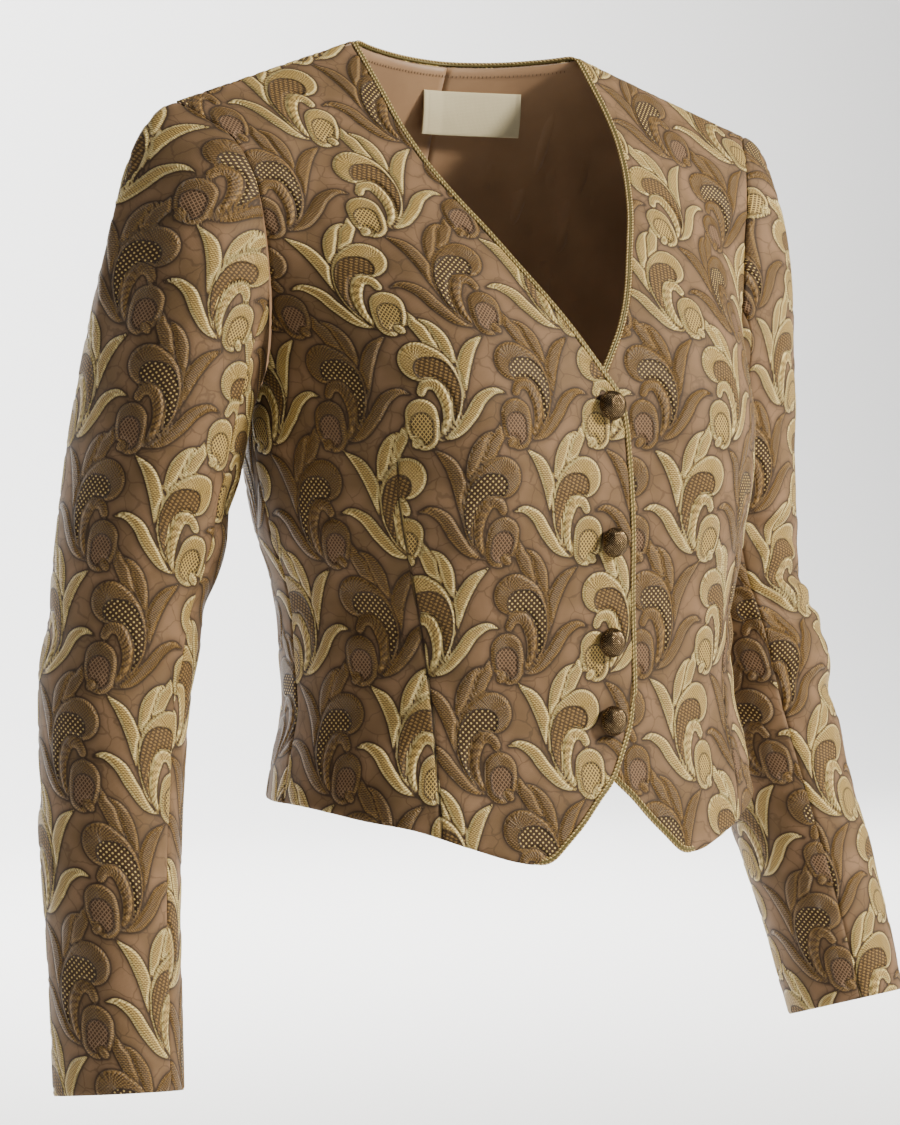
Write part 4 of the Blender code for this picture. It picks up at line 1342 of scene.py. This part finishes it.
@dataclass
class Bodice:
    """Fronts and backs of brocade."""

    room: Workroom
    repeat: BrocadeRepeat
    form: BodyForm
    step: float = 0.0017
    relief: float = 0.00055
    relief_slope: tuple[float, float] = (-0.2, 1.4)
    dart_width: float = 1.3
    dart_depth: float = 0.0009
    front_phase: dict = field(default_factory=lambda: {Side.RIGHT: (0.010, 0.020),
                                                       Side.LEFT: (0.030, 0.020)})
    back_phase: tuple[float, float] = (0.0, 0.0)

    FRONT_CREASES = (
        Crease((0.150, -0.245), (0.085, -0.285), 0.010, 0.0016, 0.006),
        Crease((0.165, -0.300), (0.105, -0.335), 0.011, 0.0018, -0.004),
        Crease((0.170, -0.345), (0.110, -0.365), 0.009, 0.0020, 0.005),
        Crease((0.165, -0.385), (0.095, -0.395), 0.010, 0.0016, -0.004),
        Crease((0.095, -0.420), (0.075, -0.480), 0.012, 0.0014, 0.003),
        Crease((0.150, -0.415), (0.135, -0.470), 0.013, -0.0016, 0.003),
        Crease((0.045, -0.330), (0.075, -0.400), 0.012, 0.0010, 0.004),
        Crease((0.130, -0.060), (0.165, -0.150), 0.012, 0.0018, 0.005),
        Crease((0.105, -0.105), (0.120, -0.190), 0.014, -0.0012, -0.004),
        Crease((0.070, -0.150), (0.045, -0.200), 0.010, 0.0008, 0.003),
    )
    BACK_CREASES = (
        Crease((0.165, -0.250), (0.100, -0.300), 0.012, 0.0018, 0.006),
        Crease((0.170, -0.320), (0.080, -0.350), 0.011, 0.0022, -0.005),
        Crease((0.160, -0.360), (0.060, -0.375), 0.010, 0.0020, 0.004),
        Crease((0.150, -0.395), (0.070, -0.400), 0.012, 0.0015, -0.003),
        Crease((0.040, -0.340), (0.030, -0.430), 0.014, 0.0012, 0.004),
        Crease((0.120, -0.080), (0.165, -0.190), 0.014, 0.0020, 0.006),
        Crease((0.080, -0.060), (0.095, -0.180), 0.016, -0.0014, -0.004),
    )

    def weave_on(self, panel: Panel, phase: tuple[float, float]) -> None:
        """Read the brocade on a panel and raise its figures."""
        panel.cloth = panel.cloth + np.array(phase)
        found = self.repeat.read(panel.cloth)
        panel.marks.update(found)
        panel.push(self.relief * smooth_step(-found["figure"], *self.relief_slope))

    def finish(self, node: str, panel: Panel, phase: tuple[float, float],
               flat: tuple[float, float]) -> None:
        """Roll a creased panel's edges, raise its brocade and place it."""
        panel.roll_edges(EDGE_ROLL, EDGE_REACH)
        area = panel.flat_area
        self.weave_on(panel, phase)
        self.room.sheet(node, "brocade", panel, CLOTH,
                        [self.room.brocade, self.room.wrong_side], flat, area)

    def build(self) -> dict[str, Panel]:
        """Build the four body pieces, and return their plain panels for the neighbours."""
        plain = {}
        for side in Side:
            front = self.form.front(side, self.step)
            back = self.form.back(side, self.step)
            shared = unit(front.normals[-1, -1] + back.normals[-1, -1])
            front.normals[-1, -1] = back.normals[-1, -1] = shared
            for word, panel, creases, phase, flat in (
                    ("front", front, self.FRONT_CREASES, self.front_phase[side], FRONT_FLAT),
                    ("back", back, self.BACK_CREASES, self.back_phase, BACK_FLAT)):
                node = f"{word}_{side.word}"
                plain[node] = Panel(panel.points.copy(), panel.normals.copy(), panel.cloth)
                place = np.stack([panel.marks.pop("across"), panel.points[..., 2]], axis=-1)
                dart = np.exp(-(panel.marks["seam"] / self.dart_width) ** 2) * -self.dart_depth
                panel.push(panel.crease_lift(creases, place, BODY_FADE) + dart)
                self.finish(node, panel, phase, flat)
        return plain


@dataclass
class Sleeves:
    """Two-piece sleeves of brocade."""

    bodice: Bodice
    step: float = 0.0017
    phases: dict = field(default_factory=lambda: {
        (Side.RIGHT, "top"): (0.020, 0.000), (Side.RIGHT, "under"): (0.060, 0.030),
        (Side.LEFT, "top"): (0.045, 0.040), (Side.LEFT, "under"): (0.010, 0.010)})

    RIGHT_CREASES = (
        Crease((0.60, -0.120), (0.15, -0.060), 0.012, 0.0016, 0.006),
        Crease((2.30, 0.000), (0.90, 0.040), 0.010, 0.0028, -0.006),
        Crease((2.40, 0.050), (0.80, 0.082), 0.010, 0.0034, 0.006),
        Crease((-0.60, 0.090), (0.50, 0.125), 0.012, 0.0018, 0.005),
        Crease((2.30, 0.095), (0.70, 0.140), 0.011, 0.0030, -0.006),
        Crease((-1.20, 0.180), (0.10, 0.215), 0.012, 0.0016, 0.004),
        Crease((2.10, 0.190), (0.60, 0.240), 0.012, 0.0020, 0.004),
        Crease((-0.20, 0.280), (0.90, 0.320), 0.012, 0.0014, -0.004),
        Crease((-0.40, -0.100), (-0.20, 0.040), 0.016, -0.0016, 0.003),
    )
    LEFT_CREASES = (
        Crease((1.80, -0.050), (0.70, 0.010), 0.012, 0.0022, 0.006),
        Crease((2.30, 0.045), (0.60, 0.062), 0.008, 0.0042, 0.006),
        Crease((2.40, 0.085), (0.20, 0.100), 0.007, 0.0060, -0.008),
        Crease((2.40, 0.108), (0.40, 0.128), 0.008, 0.0052, 0.008),
        Crease((2.20, 0.138), (0.30, 0.165), 0.010, 0.0040, -0.006),
        Crease((2.10, 0.185), (0.80, 0.220), 0.011, 0.0022, 0.005),
        Crease((2.00, 0.255), (0.70, 0.300), 0.012, 0.0018, 0.004),
        Crease((-0.20, 0.060), (-1.10, 0.095), 0.011, 0.0020, 0.004),
        Crease((-0.20, 0.120), (-1.30, 0.150), 0.012, 0.0016, 0.004),
        Crease((-1.20, 0.270), (-0.40, 0.310), 0.012, 0.0014, 0.004),
    )

    def build(self, plain: dict[str, Panel]) -> None:
        """Build both sleeves on their armholes."""
        forms = (SleeveForm(Side.RIGHT, RIGHT_RINGS, RIGHT_FOLDS),
                 SleeveForm(Side.LEFT, LEFT_RINGS, LEFT_FOLDS))
        for form in forms:
            word = form.side.word
            creases = self.RIGHT_CREASES if form.side is Side.RIGHT else self.LEFT_CREASES
            creases = [crease.on_sleeve() for crease in creases]
            pieces = form.panels(plain[f"front_{word}"], plain[f"back_{word}"],
                                 self.bodice.form, self.step)
            for piece, panel in pieces.items():
                turn = np.radians(panel.marks.pop("turn")) * CREASE_RADIUS
                place = np.stack([turn, panel.marks.pop("along")], axis=-1)
                panel.push(panel.crease_lift(creases, place, SLEEVE_FADE))
                self.bodice.finish(f"sleeve_{word}_{piece}", panel,
                                   self.phases[(form.side, piece)],
                                   TOP_FLAT if piece == "top" else UNDER_FLAT)


@dataclass
class Inside:
    """The back lining and the bare label."""

    room: Workroom
    form: BodyForm
    step: float = 0.0030
    label_size: tuple[float, float] = (0.070, 0.028)
    hem_gap: float = 0.019
    seam_roll: float = 0.0006
    seam_reach: float = 0.0015
    label_step: float = 0.0012
    label_drop: float = 0.0155
    label_across: float = 0.020
    label_gap: float = 0.0005
    label_stand: float = 0.0009
    label_follow: float = 0.25
    label_bow: float = 0.0010
    label_thick: float = 0.0007
    label_fold: float = 0.0035

    CREASES = (
        Crease((0.085, -0.020), (0.055, -0.130), 0.008, -0.0062, 0.006),
        Crease((0.060, -0.035), (0.030, -0.150), 0.009, -0.0036, -0.004),
        Crease((0.115, -0.045), (0.085, -0.170), 0.009, -0.0068, 0.006),
        Crease((0.035, -0.080), (0.012, -0.230), 0.008, -0.0030, 0.002),
        Crease((0.140, -0.080), (0.110, -0.200), 0.013, -0.0044, 0.004),
    )

    def build(self) -> dict[Side, Panel]:
        """Build the lining halves and the label, and return the linings."""
        linings = {}
        for side in Side:
            back = self.form.back(side, self.step)
            place = np.stack([back.marks["across"], back.points[..., 2]], axis=-1)
            edge = smooth_step(back.edge_distance(), 0.0, BODY_FADE)
            behind = np.minimum(sum(crease.lift(place) for crease in Bodice.BACK_CREASES), 0.0)
            folds = np.abs(sum(crease.lift(place) for crease in self.CREASES))
            back.push((behind - folds) * edge - CLOTH - SEAM_GAP - self.seam_roll)
            above_hem = back.points[:, 0, 2] > self.form.back_hem + self.hem_gap
            first = int(np.argmax(above_hem))
            first -= -(len(back.points) - 1 - first) % INNER_STRIDE
            kept = Panel(back.points[first:], back.normals[first:], back.cloth[first:])
            kept.roll_edges(-self.seam_roll, self.seam_reach)
            self.room.sheet(f"lining_back_{side.word}", "satin", kept, LINING,
                            [self.room.satin, self.room.satin], LINING_FLAT, kept.flat_area)
            linings[side] = kept
        self.label()
        return linings

    def label(self) -> None:
        """Build the bare label on the lining, a little bowed, with folded ends."""
        width, tall = self.label_size
        across = self.label_across + (cell_steps(width, self.label_step) - 0.5) * width
        top = -self.form.back_neck_drop - self.label_drop
        height = top - tall * (1.0 - cell_steps(tall, self.label_step))
        grid_x, grid_z = np.meshgrid(across, height)
        turn, level = np.meshgrid(np.linspace(0.0, 0.6, 120), np.linspace(-0.2, 0.0, 200))
        sheet = self.form.point(BACK_SECTIONS, 1.0, turn, level)
        grid_y = np.empty_like(grid_x)
        for k, z in enumerate(height):
            x, y = (np.array([np.interp(z, line[:, 2], line[:, axis])
                              for line in sheet.transpose(1, 0, 2)]) for axis in (0, 1))
            grid_y[k] = np.interp(np.abs(across), x, y)
        grid_y = grid_y[-1] + (grid_y - grid_y[-1]) * self.label_follow
        inward = CLOTH + SEAM_GAP + LINING + self.label_gap + self.seam_roll + self.label_stand
        bow = self.label_bow * np.sin(np.pi * (grid_z - height[0]) / tall)
        points = np.stack([grid_x, grid_y - inward - bow, grid_z], axis=-1)
        normals = -grid_normals(points, points * np.array([0.0, 0.0, 1.0]))
        cloth = np.stack([grid_x, grid_z], axis=-1)
        panel = Panel(points, normals, cloth)
        hem = np.minimum(np.abs(grid_x - across[0]), np.abs(grid_x - across[-1]))
        panel.push(-0.0003 * np.exp(-((hem - self.label_fold) / 0.0006) ** 2))
        panel.roll_edges(0.0003, 0.0008)
        item = self.room.shell("label_cloth", panel, self.label_thick,
                               [self.room.cream, self.room.cream])
        self.room.place(item, "cream_cloth", "label")
        round(width * tall, 6)


class NodeSetup:
    """A Geometry Nodes tree with named inputs, run on a curve."""

    def __init__(self, name: str, *numbers: str) -> None:
        """Add an empty tree with a geometry input and output, and named number inputs."""
        self.tree = bpy.data.node_groups.new(name, "GeometryNodeTree")
        for way in ("INPUT", "OUTPUT"):
            self.tree.interface.new_socket("Geometry", in_out=way,
                                           socket_type="NodeSocketGeometry")
        self.source = self.tree.nodes.new("NodeGroupInput")
        self.result = self.tree.nodes.new("NodeGroupOutput")
        for number in numbers:
            self.tree.interface.new_socket(number, in_out="INPUT", socket_type="NodeSocketFloat")

    def finish(self, geometry: bpy.types.NodeSocket) -> "NodeSetup":
        """Send a geometry to the output."""
        self.tree.links.new(geometry, self.result.inputs[0])
        return self

    def node(self, kind: str, settings: dict | None = None,
             values: dict | None = None) -> bpy.types.Node:
        """Add a node with its settings, and its sockets' values or links."""
        node = self.tree.nodes.new(kind)
        for name, value in (settings or {}).items():
            setattr(node, name, value)
        for name, value in (values or {}).items():
            if isinstance(value, bpy.types.NodeSocket):
                self.tree.links.new(value, node.inputs[name])
            else:
                node.inputs[name].default_value = value
        return node

    def run(self, item: bpy.types.Object, name: str, **numbers: float) -> bpy.types.Object:
        """Run the tree on an object.

        Args:
            item: A curve or mesh object, which is removed after.
            name: Name of the new object.
            numbers: Values of the named inputs, whose spaces are written as underscores.

        Returns:
            A plain mesh object at the origin.
        """
        modifier = item.modifiers.new("nodes", "NODES")
        modifier.node_group = self.tree
        for socket in self.tree.interface.items_tree:
            key = socket.name.replace(" ", "_")
            if socket.in_out == "INPUT" and key in numbers:
                modifier[socket.identifier] = numbers[key]
        graph = bpy.context.evaluated_depsgraph_get()
        mesh = bpy.data.meshes.new_from_object(item.evaluated_get(graph))
        mesh.name = name
        bpy.data.objects.remove(item, do_unlink=True)
        return add_object(name, mesh)


@dataclass
class Piping:
    """Two gold ropes with an olive cord between, along the neck and the front edges."""

    room: Workroom
    form: BodyForm
    end_across: float = 0.058
    middle_out: float = 0.0012
    rope_radius: float = 0.00050
    rope_turn: float = 0.00042
    rope_pitch: float = 0.0026
    rope_apart: float = 0.00125
    cord_radius: float = 0.00104
    tuck: float = 0.0034
    tuck_length: float = 0.009
    inner_lift: float = 0.0011
    outer_lift: float = 0.0003
    cord_lift: float = 0.0004
    line_step: float = 0.0022
    smoothings: int = 4
    rope_spacing: float = 0.00045
    cord_spacing: float = 0.0015

    def edge_line(self, points: np.ndarray, normals: np.ndarray, beside: np.ndarray,
                  out: float | np.ndarray, lift: float | np.ndarray) -> np.ndarray:
        """A line beside an edge, this far out from it and up from the cloth's middle."""
        along = unit(np.gradient(points, axis=0))
        away = unit(np.cross(along, normals))
        sign = np.where(np.sum(away * (points - beside), axis=-1, keepdims=True) < 0, -1.0, 1.0)
        return points - normals * (CLOTH / 2 - lift) + away * sign * out

    def whole_line(self, plain: dict[str, Panel], out: float, lift: float) -> np.ndarray:
        """The line from the right front's point, round the neck, to the left front's."""
        lines = []
        for side in Side:
            front = plain[f"front_{side.word}"]
            back = plain[f"back_{side.word}"]
            last = int(np.argmax(side.value * front.points[0, :, 0] > self.end_across))
            outline = np.concatenate([front.points[::-1, 0], front.points[0, 1:last + 1]])
            shown = smooth_step(run_length(outline[::-1])[::-1, None], 0.0, self.tuck_length)
            edge = self.edge_line(
                outline,
                np.concatenate([front.normals[::-1, 0], front.normals[0, 1:last + 1]]),
                np.concatenate([front.points[::-1, 3], front.points[3, 1:last + 1]]),
                out - self.tuck * (1.0 - shown), lift * shown)
            width = np.abs(back.points[-1, :, 0])
            neck = int(np.argmax(width > self.form.neck_half_width)) - 1
            behind = self.edge_line(back.points[-1, :neck], back.normals[-1, :neck],
                                    back.points[-4, :neck], out, lift)
            lines.append(np.concatenate([edge[::-1], behind[::-1]]))
        line = np.concatenate([lines[0], lines[1][-2::-1]])
        length = run_length(line)
        even = np.linspace(0.0, length[-1], int(length[-1] / self.line_step))
        line = read_points(even, length, line)
        for _ in range(self.smoothings):
            line[1:-1] = (line[:-2] + 2 * line[1:-1] + line[2:]) / 4
        return line

    def curve(self, line: np.ndarray) -> bpy.types.Object:
        """A curve object along a line."""
        curve = bpy.data.curves.new("piping_line", "CURVE")
        curve.dimensions = "3D"
        spline = curve.splines.new("POLY")
        spline.points.add(len(line) - 1)
        spline.points.foreach_set("co", np.pad(line, ((0, 0), (0, 1)), constant_values=1.0).ravel())
        return add_object("piping_line", curve)

    def rope_tree(self, material: bpy.types.Material, strands: int) -> NodeSetup:
        """A tree that winds strands round a curve."""
        setup = NodeSetup("wound_rope", "Turn Radius", "Pitch", "Strand Radius", "Spacing")
        source = setup.source.outputs
        fine = setup.node("GeometryNodeResampleCurve", {"mode": "LENGTH"},
                          {"Curve": source["Geometry"], "Length": source["Spacing"]})
        copies = setup.node("GeometryNodeDuplicateElements", {"domain": "SPLINE"},
                            {"Geometry": fine.outputs["Curve"], "Amount": strands})
        share = setup.node("ShaderNodeMath", {"operation": "DIVIDE"},
                           {0: copies.outputs["Duplicate Index"], 1: float(strands)})
        named = setup.node("GeometryNodeStoreNamedAttribute",
                           {"data_type": "FLOAT", "domain": "POINT"},
                           {"Geometry": copies.outputs["Geometry"], "Name": "strand",
                            "Value": share.outputs[0]})
        place = setup.node("GeometryNodeSplineParameter")
        turns = setup.node("ShaderNodeMath", {"operation": "DIVIDE"},
                           {0: place.outputs["Length"], 1: source["Pitch"]})
        both = setup.node("ShaderNodeMath", {"operation": "ADD"},
                          {0: turns.outputs[0], 1: share.outputs[0]})
        angle = setup.node("ShaderNodeMath", {"operation": "MULTIPLY"},
                           {0: both.outputs[0], 1: 2 * math.pi})
        normal = setup.node("GeometryNodeInputNormal")
        tangent = setup.node("GeometryNodeInputTangent")
        spoke = setup.node("ShaderNodeVectorRotate", {"rotation_type": "AXIS_ANGLE"},
                           {"Vector": normal.outputs[0], "Axis": tangent.outputs[0],
                            "Angle": angle.outputs[0]})
        offset = setup.node("ShaderNodeVectorMath", {"operation": "SCALE"},
                            {0: spoke.outputs[0], "Scale": source["Turn Radius"]})
        moved = setup.node("GeometryNodeSetPosition", {},
                           {"Geometry": named.outputs["Geometry"], "Offset": offset.outputs[0]})
        profile = setup.node("GeometryNodeCurvePrimitiveCircle", {"mode": "RADIUS"},
                             {"Resolution": 6, "Radius": source["Strand Radius"]})
        tube = setup.node("GeometryNodeCurveToMesh", {},
                          {"Curve": moved.outputs["Geometry"],
                           "Profile Curve": profile.outputs["Curve"], "Fill Caps": True})
        smooth = setup.node("GeometryNodeSetShadeSmooth", {}, {"Geometry": tube.outputs[0]})
        real = setup.node("GeometryNodeRealizeInstances", {}, {"Geometry": smooth.outputs[0]})
        dressed = setup.node("GeometryNodeSetMaterial", {},
                             {"Geometry": real.outputs[0], "Material": material})
        return setup.finish(dressed.outputs[0])

    def build(self, plain: dict[str, Panel]) -> None:
        """Build the two ropes and the cord."""
        rope = self.rope_tree(self.room.gold, 2)
        for name, out, lift, nodes in (
                ("piping_inner_rope", -self.rope_apart, self.inner_lift, ("piping",)),
                ("piping_outer_rope", self.rope_apart, self.outer_lift, ())):
            curve = self.curve(self.whole_line(plain, self.middle_out + out, lift))
            item = rope.run(curve, name, Turn_Radius=self.rope_turn, Pitch=self.rope_pitch,
                            Strand_Radius=self.rope_radius, Spacing=self.rope_spacing)
            self.room.place(item, "gold_cord", *nodes)
        plain_cord = self.rope_tree(self.room.olive, 1)
        curve = self.curve(self.whole_line(plain, self.middle_out, self.cord_lift))
        item = plain_cord.run(curve, "piping_cord", Turn_Radius=0.00001, Pitch=1.0,
                              Strand_Radius=self.cord_radius, Spacing=self.cord_spacing)
        self.room.place(item, "gold_cord")


@dataclass
class Buttons:
    """Domed antique buttons with a knurled crown inside a plain rim."""

    room: Workroom
    form: BodyForm
    heights: tuple = (-0.231, -0.312, -0.372, -0.419)
    radius: float = 0.0090
    dome: float = 0.0066
    rim: float = 0.0014
    shank_radius: float = 0.0030
    shank_length: float = 0.0018
    rings: int = 40
    spokes: int = 96
    studs: int = 13
    stud_height: float = 0.00060
    plain_rings: int = 2
    rim_relief: float = 0.55
    crown_relief: float = 0.8
    slope_step: float = 0.002

    def build(self) -> None:
        """Build the four buttons."""
        for number, height in enumerate(self.heights, start=1):
            item = self.button(f"button_{number}_brass", height)
            self.room.place(item, "antique_brass", f"button_{number}")

    def button(self, name: str, height: float) -> bpy.types.Object:
        """Build one button at its height on the centre front."""
        heights = height + np.array([-self.slope_step, 0.0, self.slope_step])
        middle = self.form.point(FRONT_SECTIONS, -1.0, np.zeros(3), heights)
        slope = middle[2] - middle[0]
        facing = unit(np.array([0.0, -slope[2], slope[1]]))
        if facing[1] > 0:
            facing = -facing
        beside = np.array([1.0, 0.0, 0.0])
        upward = np.cross(beside, facing)
        foot = middle[1] + facing * SEAM_GAP
        base, edge = self.shank_length, self.radius * 0.985
        back = [(self.shank_radius, 0.0), (self.shank_radius, base),
                (self.radius * 0.90, base), (edge, base + 0.0003),
                (self.radius, base + self.rim * 0.6), (edge, base + self.rim)]
        angle = np.linspace(0.0, 1.0, self.rings) * math.pi / 2
        top_radius = self.radius * 0.955 * np.cos(angle) ** 0.85
        top_rise = base + self.rim + self.dome * 0.98 * np.sin(angle)
        profile = np.concatenate([np.array(back), np.stack([top_radius, top_rise], axis=-1)[:-1]])
        spoke = np.linspace(0.0, 2 * math.pi, self.spokes, endpoint=False)
        radius, rise = (profile[:, k][:, None] * np.ones_like(spoke) for k in (0, 1))
        flat_x = radius * np.cos(spoke)
        flat_y = radius * np.sin(spoke)
        pitch = 2 * self.radius / self.studs
        on_crown = (np.arange(len(profile)) >= len(back) + self.plain_rings)[:, None]
        stretch = 1.0 + 0.35 * (radius / self.radius) ** 2
        knurl = (np.abs(np.sin(math.pi * (flat_x + flat_y) * stretch / (1.15 * pitch)))
                 * np.abs(np.sin(math.pi * (flat_x - flat_y) * stretch / (1.15 * pitch))))
        relief = np.where(on_crown, smooth_step(knurl, 0.10, 0.75), self.rim_relief)
        lift = np.where(on_crown, (relief - 0.6) * self.stud_height, 0.0)
        flare = np.pad(np.cos(angle)[:-1], (len(back), 0))[:, None]
        grow = 1.0 + lift / self.radius * flare
        points = (foot + (flat_x * grow)[..., None] * beside + (flat_y * grow)[..., None] * upward
                  + (rise + lift * (1 - flare))[..., None] * facing).reshape(-1, 3)
        crown = foot + facing * (base + self.rim + self.dome * 0.98)
        points = np.concatenate([points, crown[None]])
        count = self.spokes
        last = (len(profile) - 1) * count
        around = [(k, (k + 1) % count) for k in range(count)]
        faces = [(low + k, low + following, low + count + following, low + count + k)
                 for low in range(0, last, count) for k, following in around]
        faces += [(last + k, last + following, len(points) - 1) for k, following in around]
        faces.append(tuple(reversed(range(count))))
        item = self.room.mesh(name, points, faces, [self.room.brass])
        attribute = item.data.attributes.new("relief", "FLOAT", "POINT")
        values = np.append(relief, self.crown_relief)
        attribute.data.foreach_set("value", values.astype(np.float32))
        bm = bmesh.new()
        bm.from_mesh(item.data)
        bmesh.ops.recalc_face_normals(bm, faces=bm.faces)
        bm.to_mesh(item.data)
        bm.free()
        item.data.shade_smooth()
        return item


@dataclass
class Stitches:
    """Small dash stitches on the lining under the back neck."""

    room: Workroom
    form: BodyForm
    drop: float = 0.0045
    length: float = 0.0026
    spacing: float = 0.0026
    thick: float = 0.0007
    end_gap: float = 0.006

    def build(self, linings: dict[Side, Panel]) -> None:
        """Lay the stitches by Geometry Nodes along the linings, under the neck edge.

        Args:
            linings: The lining halves.
        """
        halves = []
        for side in Side:
            lining = linings[side]
            under = run_length(lining.points[::-1, 0])
            row = len(lining.points) - 1 - int(np.argmax(under > self.drop))
            near = np.abs(lining.points[row, :, 0]) < self.form.neck_half_width - self.end_gap
            line = lining.points[row, near] - lining.normals[row, near] * LINING
            halves.append(line[::-1] if side is Side.RIGHT else line[1:])
        curve = Piping(self.room, self.form).curve(np.concatenate(halves))
        item = self.tree().run(curve, "neck_stitches",
                               Step=self.spacing, Long=self.length, Thick=self.thick)
        self.room.place(item, "satin")

    def tree(self) -> NodeSetup:
        """A tree that lays rounded stitches along a curve."""
        setup = NodeSetup("dash_stitches", "Step", "Long", "Thick")
        source = setup.source.outputs
        places = setup.node("GeometryNodeCurveToPoints", {"mode": "LENGTH"},
                            {"Curve": source["Geometry"], "Length": source["Step"]})
        size = setup.node("ShaderNodeCombineXYZ", {},
                          {0: source["Thick"], 1: source["Thick"], 2: source["Long"]})
        bead = setup.node("GeometryNodeMeshUVSphere", {},
                          {"Segments": 8, "Rings": 5, "Radius": 0.5})
        sized = setup.node("GeometryNodeTransform", {}, {"Geometry": bead.outputs[0],
                                                         "Rotation": (0.0, 0.25, 0.0),
                                                         "Scale": size.outputs[0]})
        laid = setup.node("GeometryNodeInstanceOnPoints", {},
                          {"Points": places.outputs["Points"], "Instance": sized.outputs[0]})
        real = setup.node("GeometryNodeRealizeInstances", {}, {"Geometry": laid.outputs[0]})
        smooth = setup.node("GeometryNodeSetShadeSmooth", {}, {"Geometry": real.outputs[0]})
        dressed = setup.node("GeometryNodeSetMaterial", {},
                             {"Geometry": smooth.outputs[0], "Material": self.room.thread})
        return setup.finish(dressed.outputs[0])


@dataclass
class Studio:
    """Camera at the photograph's angle, soft lights and a pale floor with a backdrop."""

    azimuth: float = -32.16
    pitch: float = 0.96
    roll: float = 0.79
    distance: float = 2.016
    focal_pixels: float = 3200.0
    image_height: float = 1125.0
    aim_across: float = -0.0279
    aim_height: float = -0.3247
    floor_height: float = -0.78
    world_strength: float = 0.14

    def build(self) -> None:
        """Build the whole studio."""
        self.camera()
        self.lights()
        self.floor()

    def camera(self) -> None:
        """Add the camera."""
        azimuth, pitch, roll = (math.radians(v) for v in (self.azimuth, self.pitch, self.roll))
        back = Vector((math.sin(azimuth) * math.cos(pitch), -math.cos(azimuth) * math.cos(pitch),
                       math.sin(pitch)))
        right = Vector((math.cos(azimuth), math.sin(azimuth), 0.0))
        up = right.cross(-back)
        aim = Vector((0.0, 0.0, self.aim_height)) + right * self.aim_across
        turned_right = right * math.cos(roll) - up * math.sin(roll)
        turned_up = right * math.sin(roll) + up * math.cos(roll)
        data = bpy.data.cameras.new("camera")
        data.sensor_fit = "VERTICAL"
        data.sensor_height = 36.0
        data.lens = self.focal_pixels * data.sensor_height / self.image_height
        data.clip_end = 50.0
        item = add_object("camera", data)
        axes = Matrix((turned_right, turned_up, back)).transposed().to_4x4()
        item.matrix_world = Matrix.Translation(aim + back * self.distance) @ axes
        bpy.context.scene.camera = item

    def light(self, name: str, place: tuple, size: float, power: float, colour: tuple,
              aim: tuple = (0.0, 0.0, -0.28)) -> None:
        """Add a soft square light that faces the jacket, or another place."""
        data = bpy.data.lights.new(name, "AREA")
        data.shape = "SQUARE"
        data.size = size
        data.energy = power
        data.color = colour
        item = add_object(name, data)
        item.location = place
        facing = Vector(aim) - Vector(place)
        item.rotation_euler = facing.to_track_quat("-Z", "Y").to_euler()

    def lights(self) -> None:
        """Add the key, the fill, the top light and the pale surroundings."""
        self.light("key", (1.95, -2.00, 1.15), 0.5, 174.0, (1.0, 0.95, 0.84))
        self.light("fill", (-2.2, -1.4, 0.5), 1.2, 1.5, (1.0, 0.98, 0.96))
        self.light("top", (-0.2, -0.3, 2.1), 0.8, 12.0, (1.0, 0.98, 0.95))
        self.light("rim", (-1.2, 1.7, 0.8), 1.0, 6.0, (1.0, 0.95, 0.88))
        self.light("back", (1.4, 2.3, 0.9), 1.2, 26.0, (1.0, 0.93, 0.84))
        self.light("backdrop", (0.5, 1.2, 1.6), 1.6, 340.0, (1.0, 1.0, 1.0), (0.6, 3.8, -0.2))
        world = bpy.data.worlds.new("studio")
        world.use_nodes = True
        shade = world.node_tree.nodes["Background"]
        shade.inputs["Color"].default_value = (1.0, 0.99, 0.98, 1.0)
        shade.inputs["Strength"].default_value = self.world_strength
        bpy.context.scene.world = world

    def floor(self) -> None:
        """Add a floor that curves up into a backdrop."""
        front, bend_from, bend, span, tall = -6.0, 2.6, 1.2, 7.0, 5.0
        profile = [(front, 0.0)]
        profile += [(bend_from + bend * math.sin(a), bend * (1.0 - math.cos(a)))
                    for a in np.linspace(0.0, math.pi / 2, 13)]
        profile.append((bend_from + bend, tall))
        points = [(x, y, z + self.floor_height) for y, z in profile for x in (-span, span)]
        faces = [(2 * k, 2 * k + 1, 2 * k + 3, 2 * k + 2) for k in range(len(profile) - 1)]
        mesh = bpy.data.meshes.new("floor")
        mesh.from_pydata(points, [], faces)
        mesh.materials.append(StudioFinish().material())
        mesh.shade_smooth()
        add_object("floor", mesh)


def main() -> None:
    """Build the dressed jacket and the studio."""
    logging.basicConfig(level=logging.INFO, format="%(message)s")
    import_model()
    Studio().build()
    room = Workroom.open()
    form = BodyForm()
    repeat = BrocadeRepeat()
    repeat.weave()
    bodice = Bodice(room, repeat, form)
    plain = bodice.build()
    Sleeves(bodice).build(plain)
    linings = Inside(room, form).build()
    Piping(room, form).build(plain)
    Buttons(room, form).build()
    Stitches(room, form).build(linings)


if __name__ == "__main__":
    main()
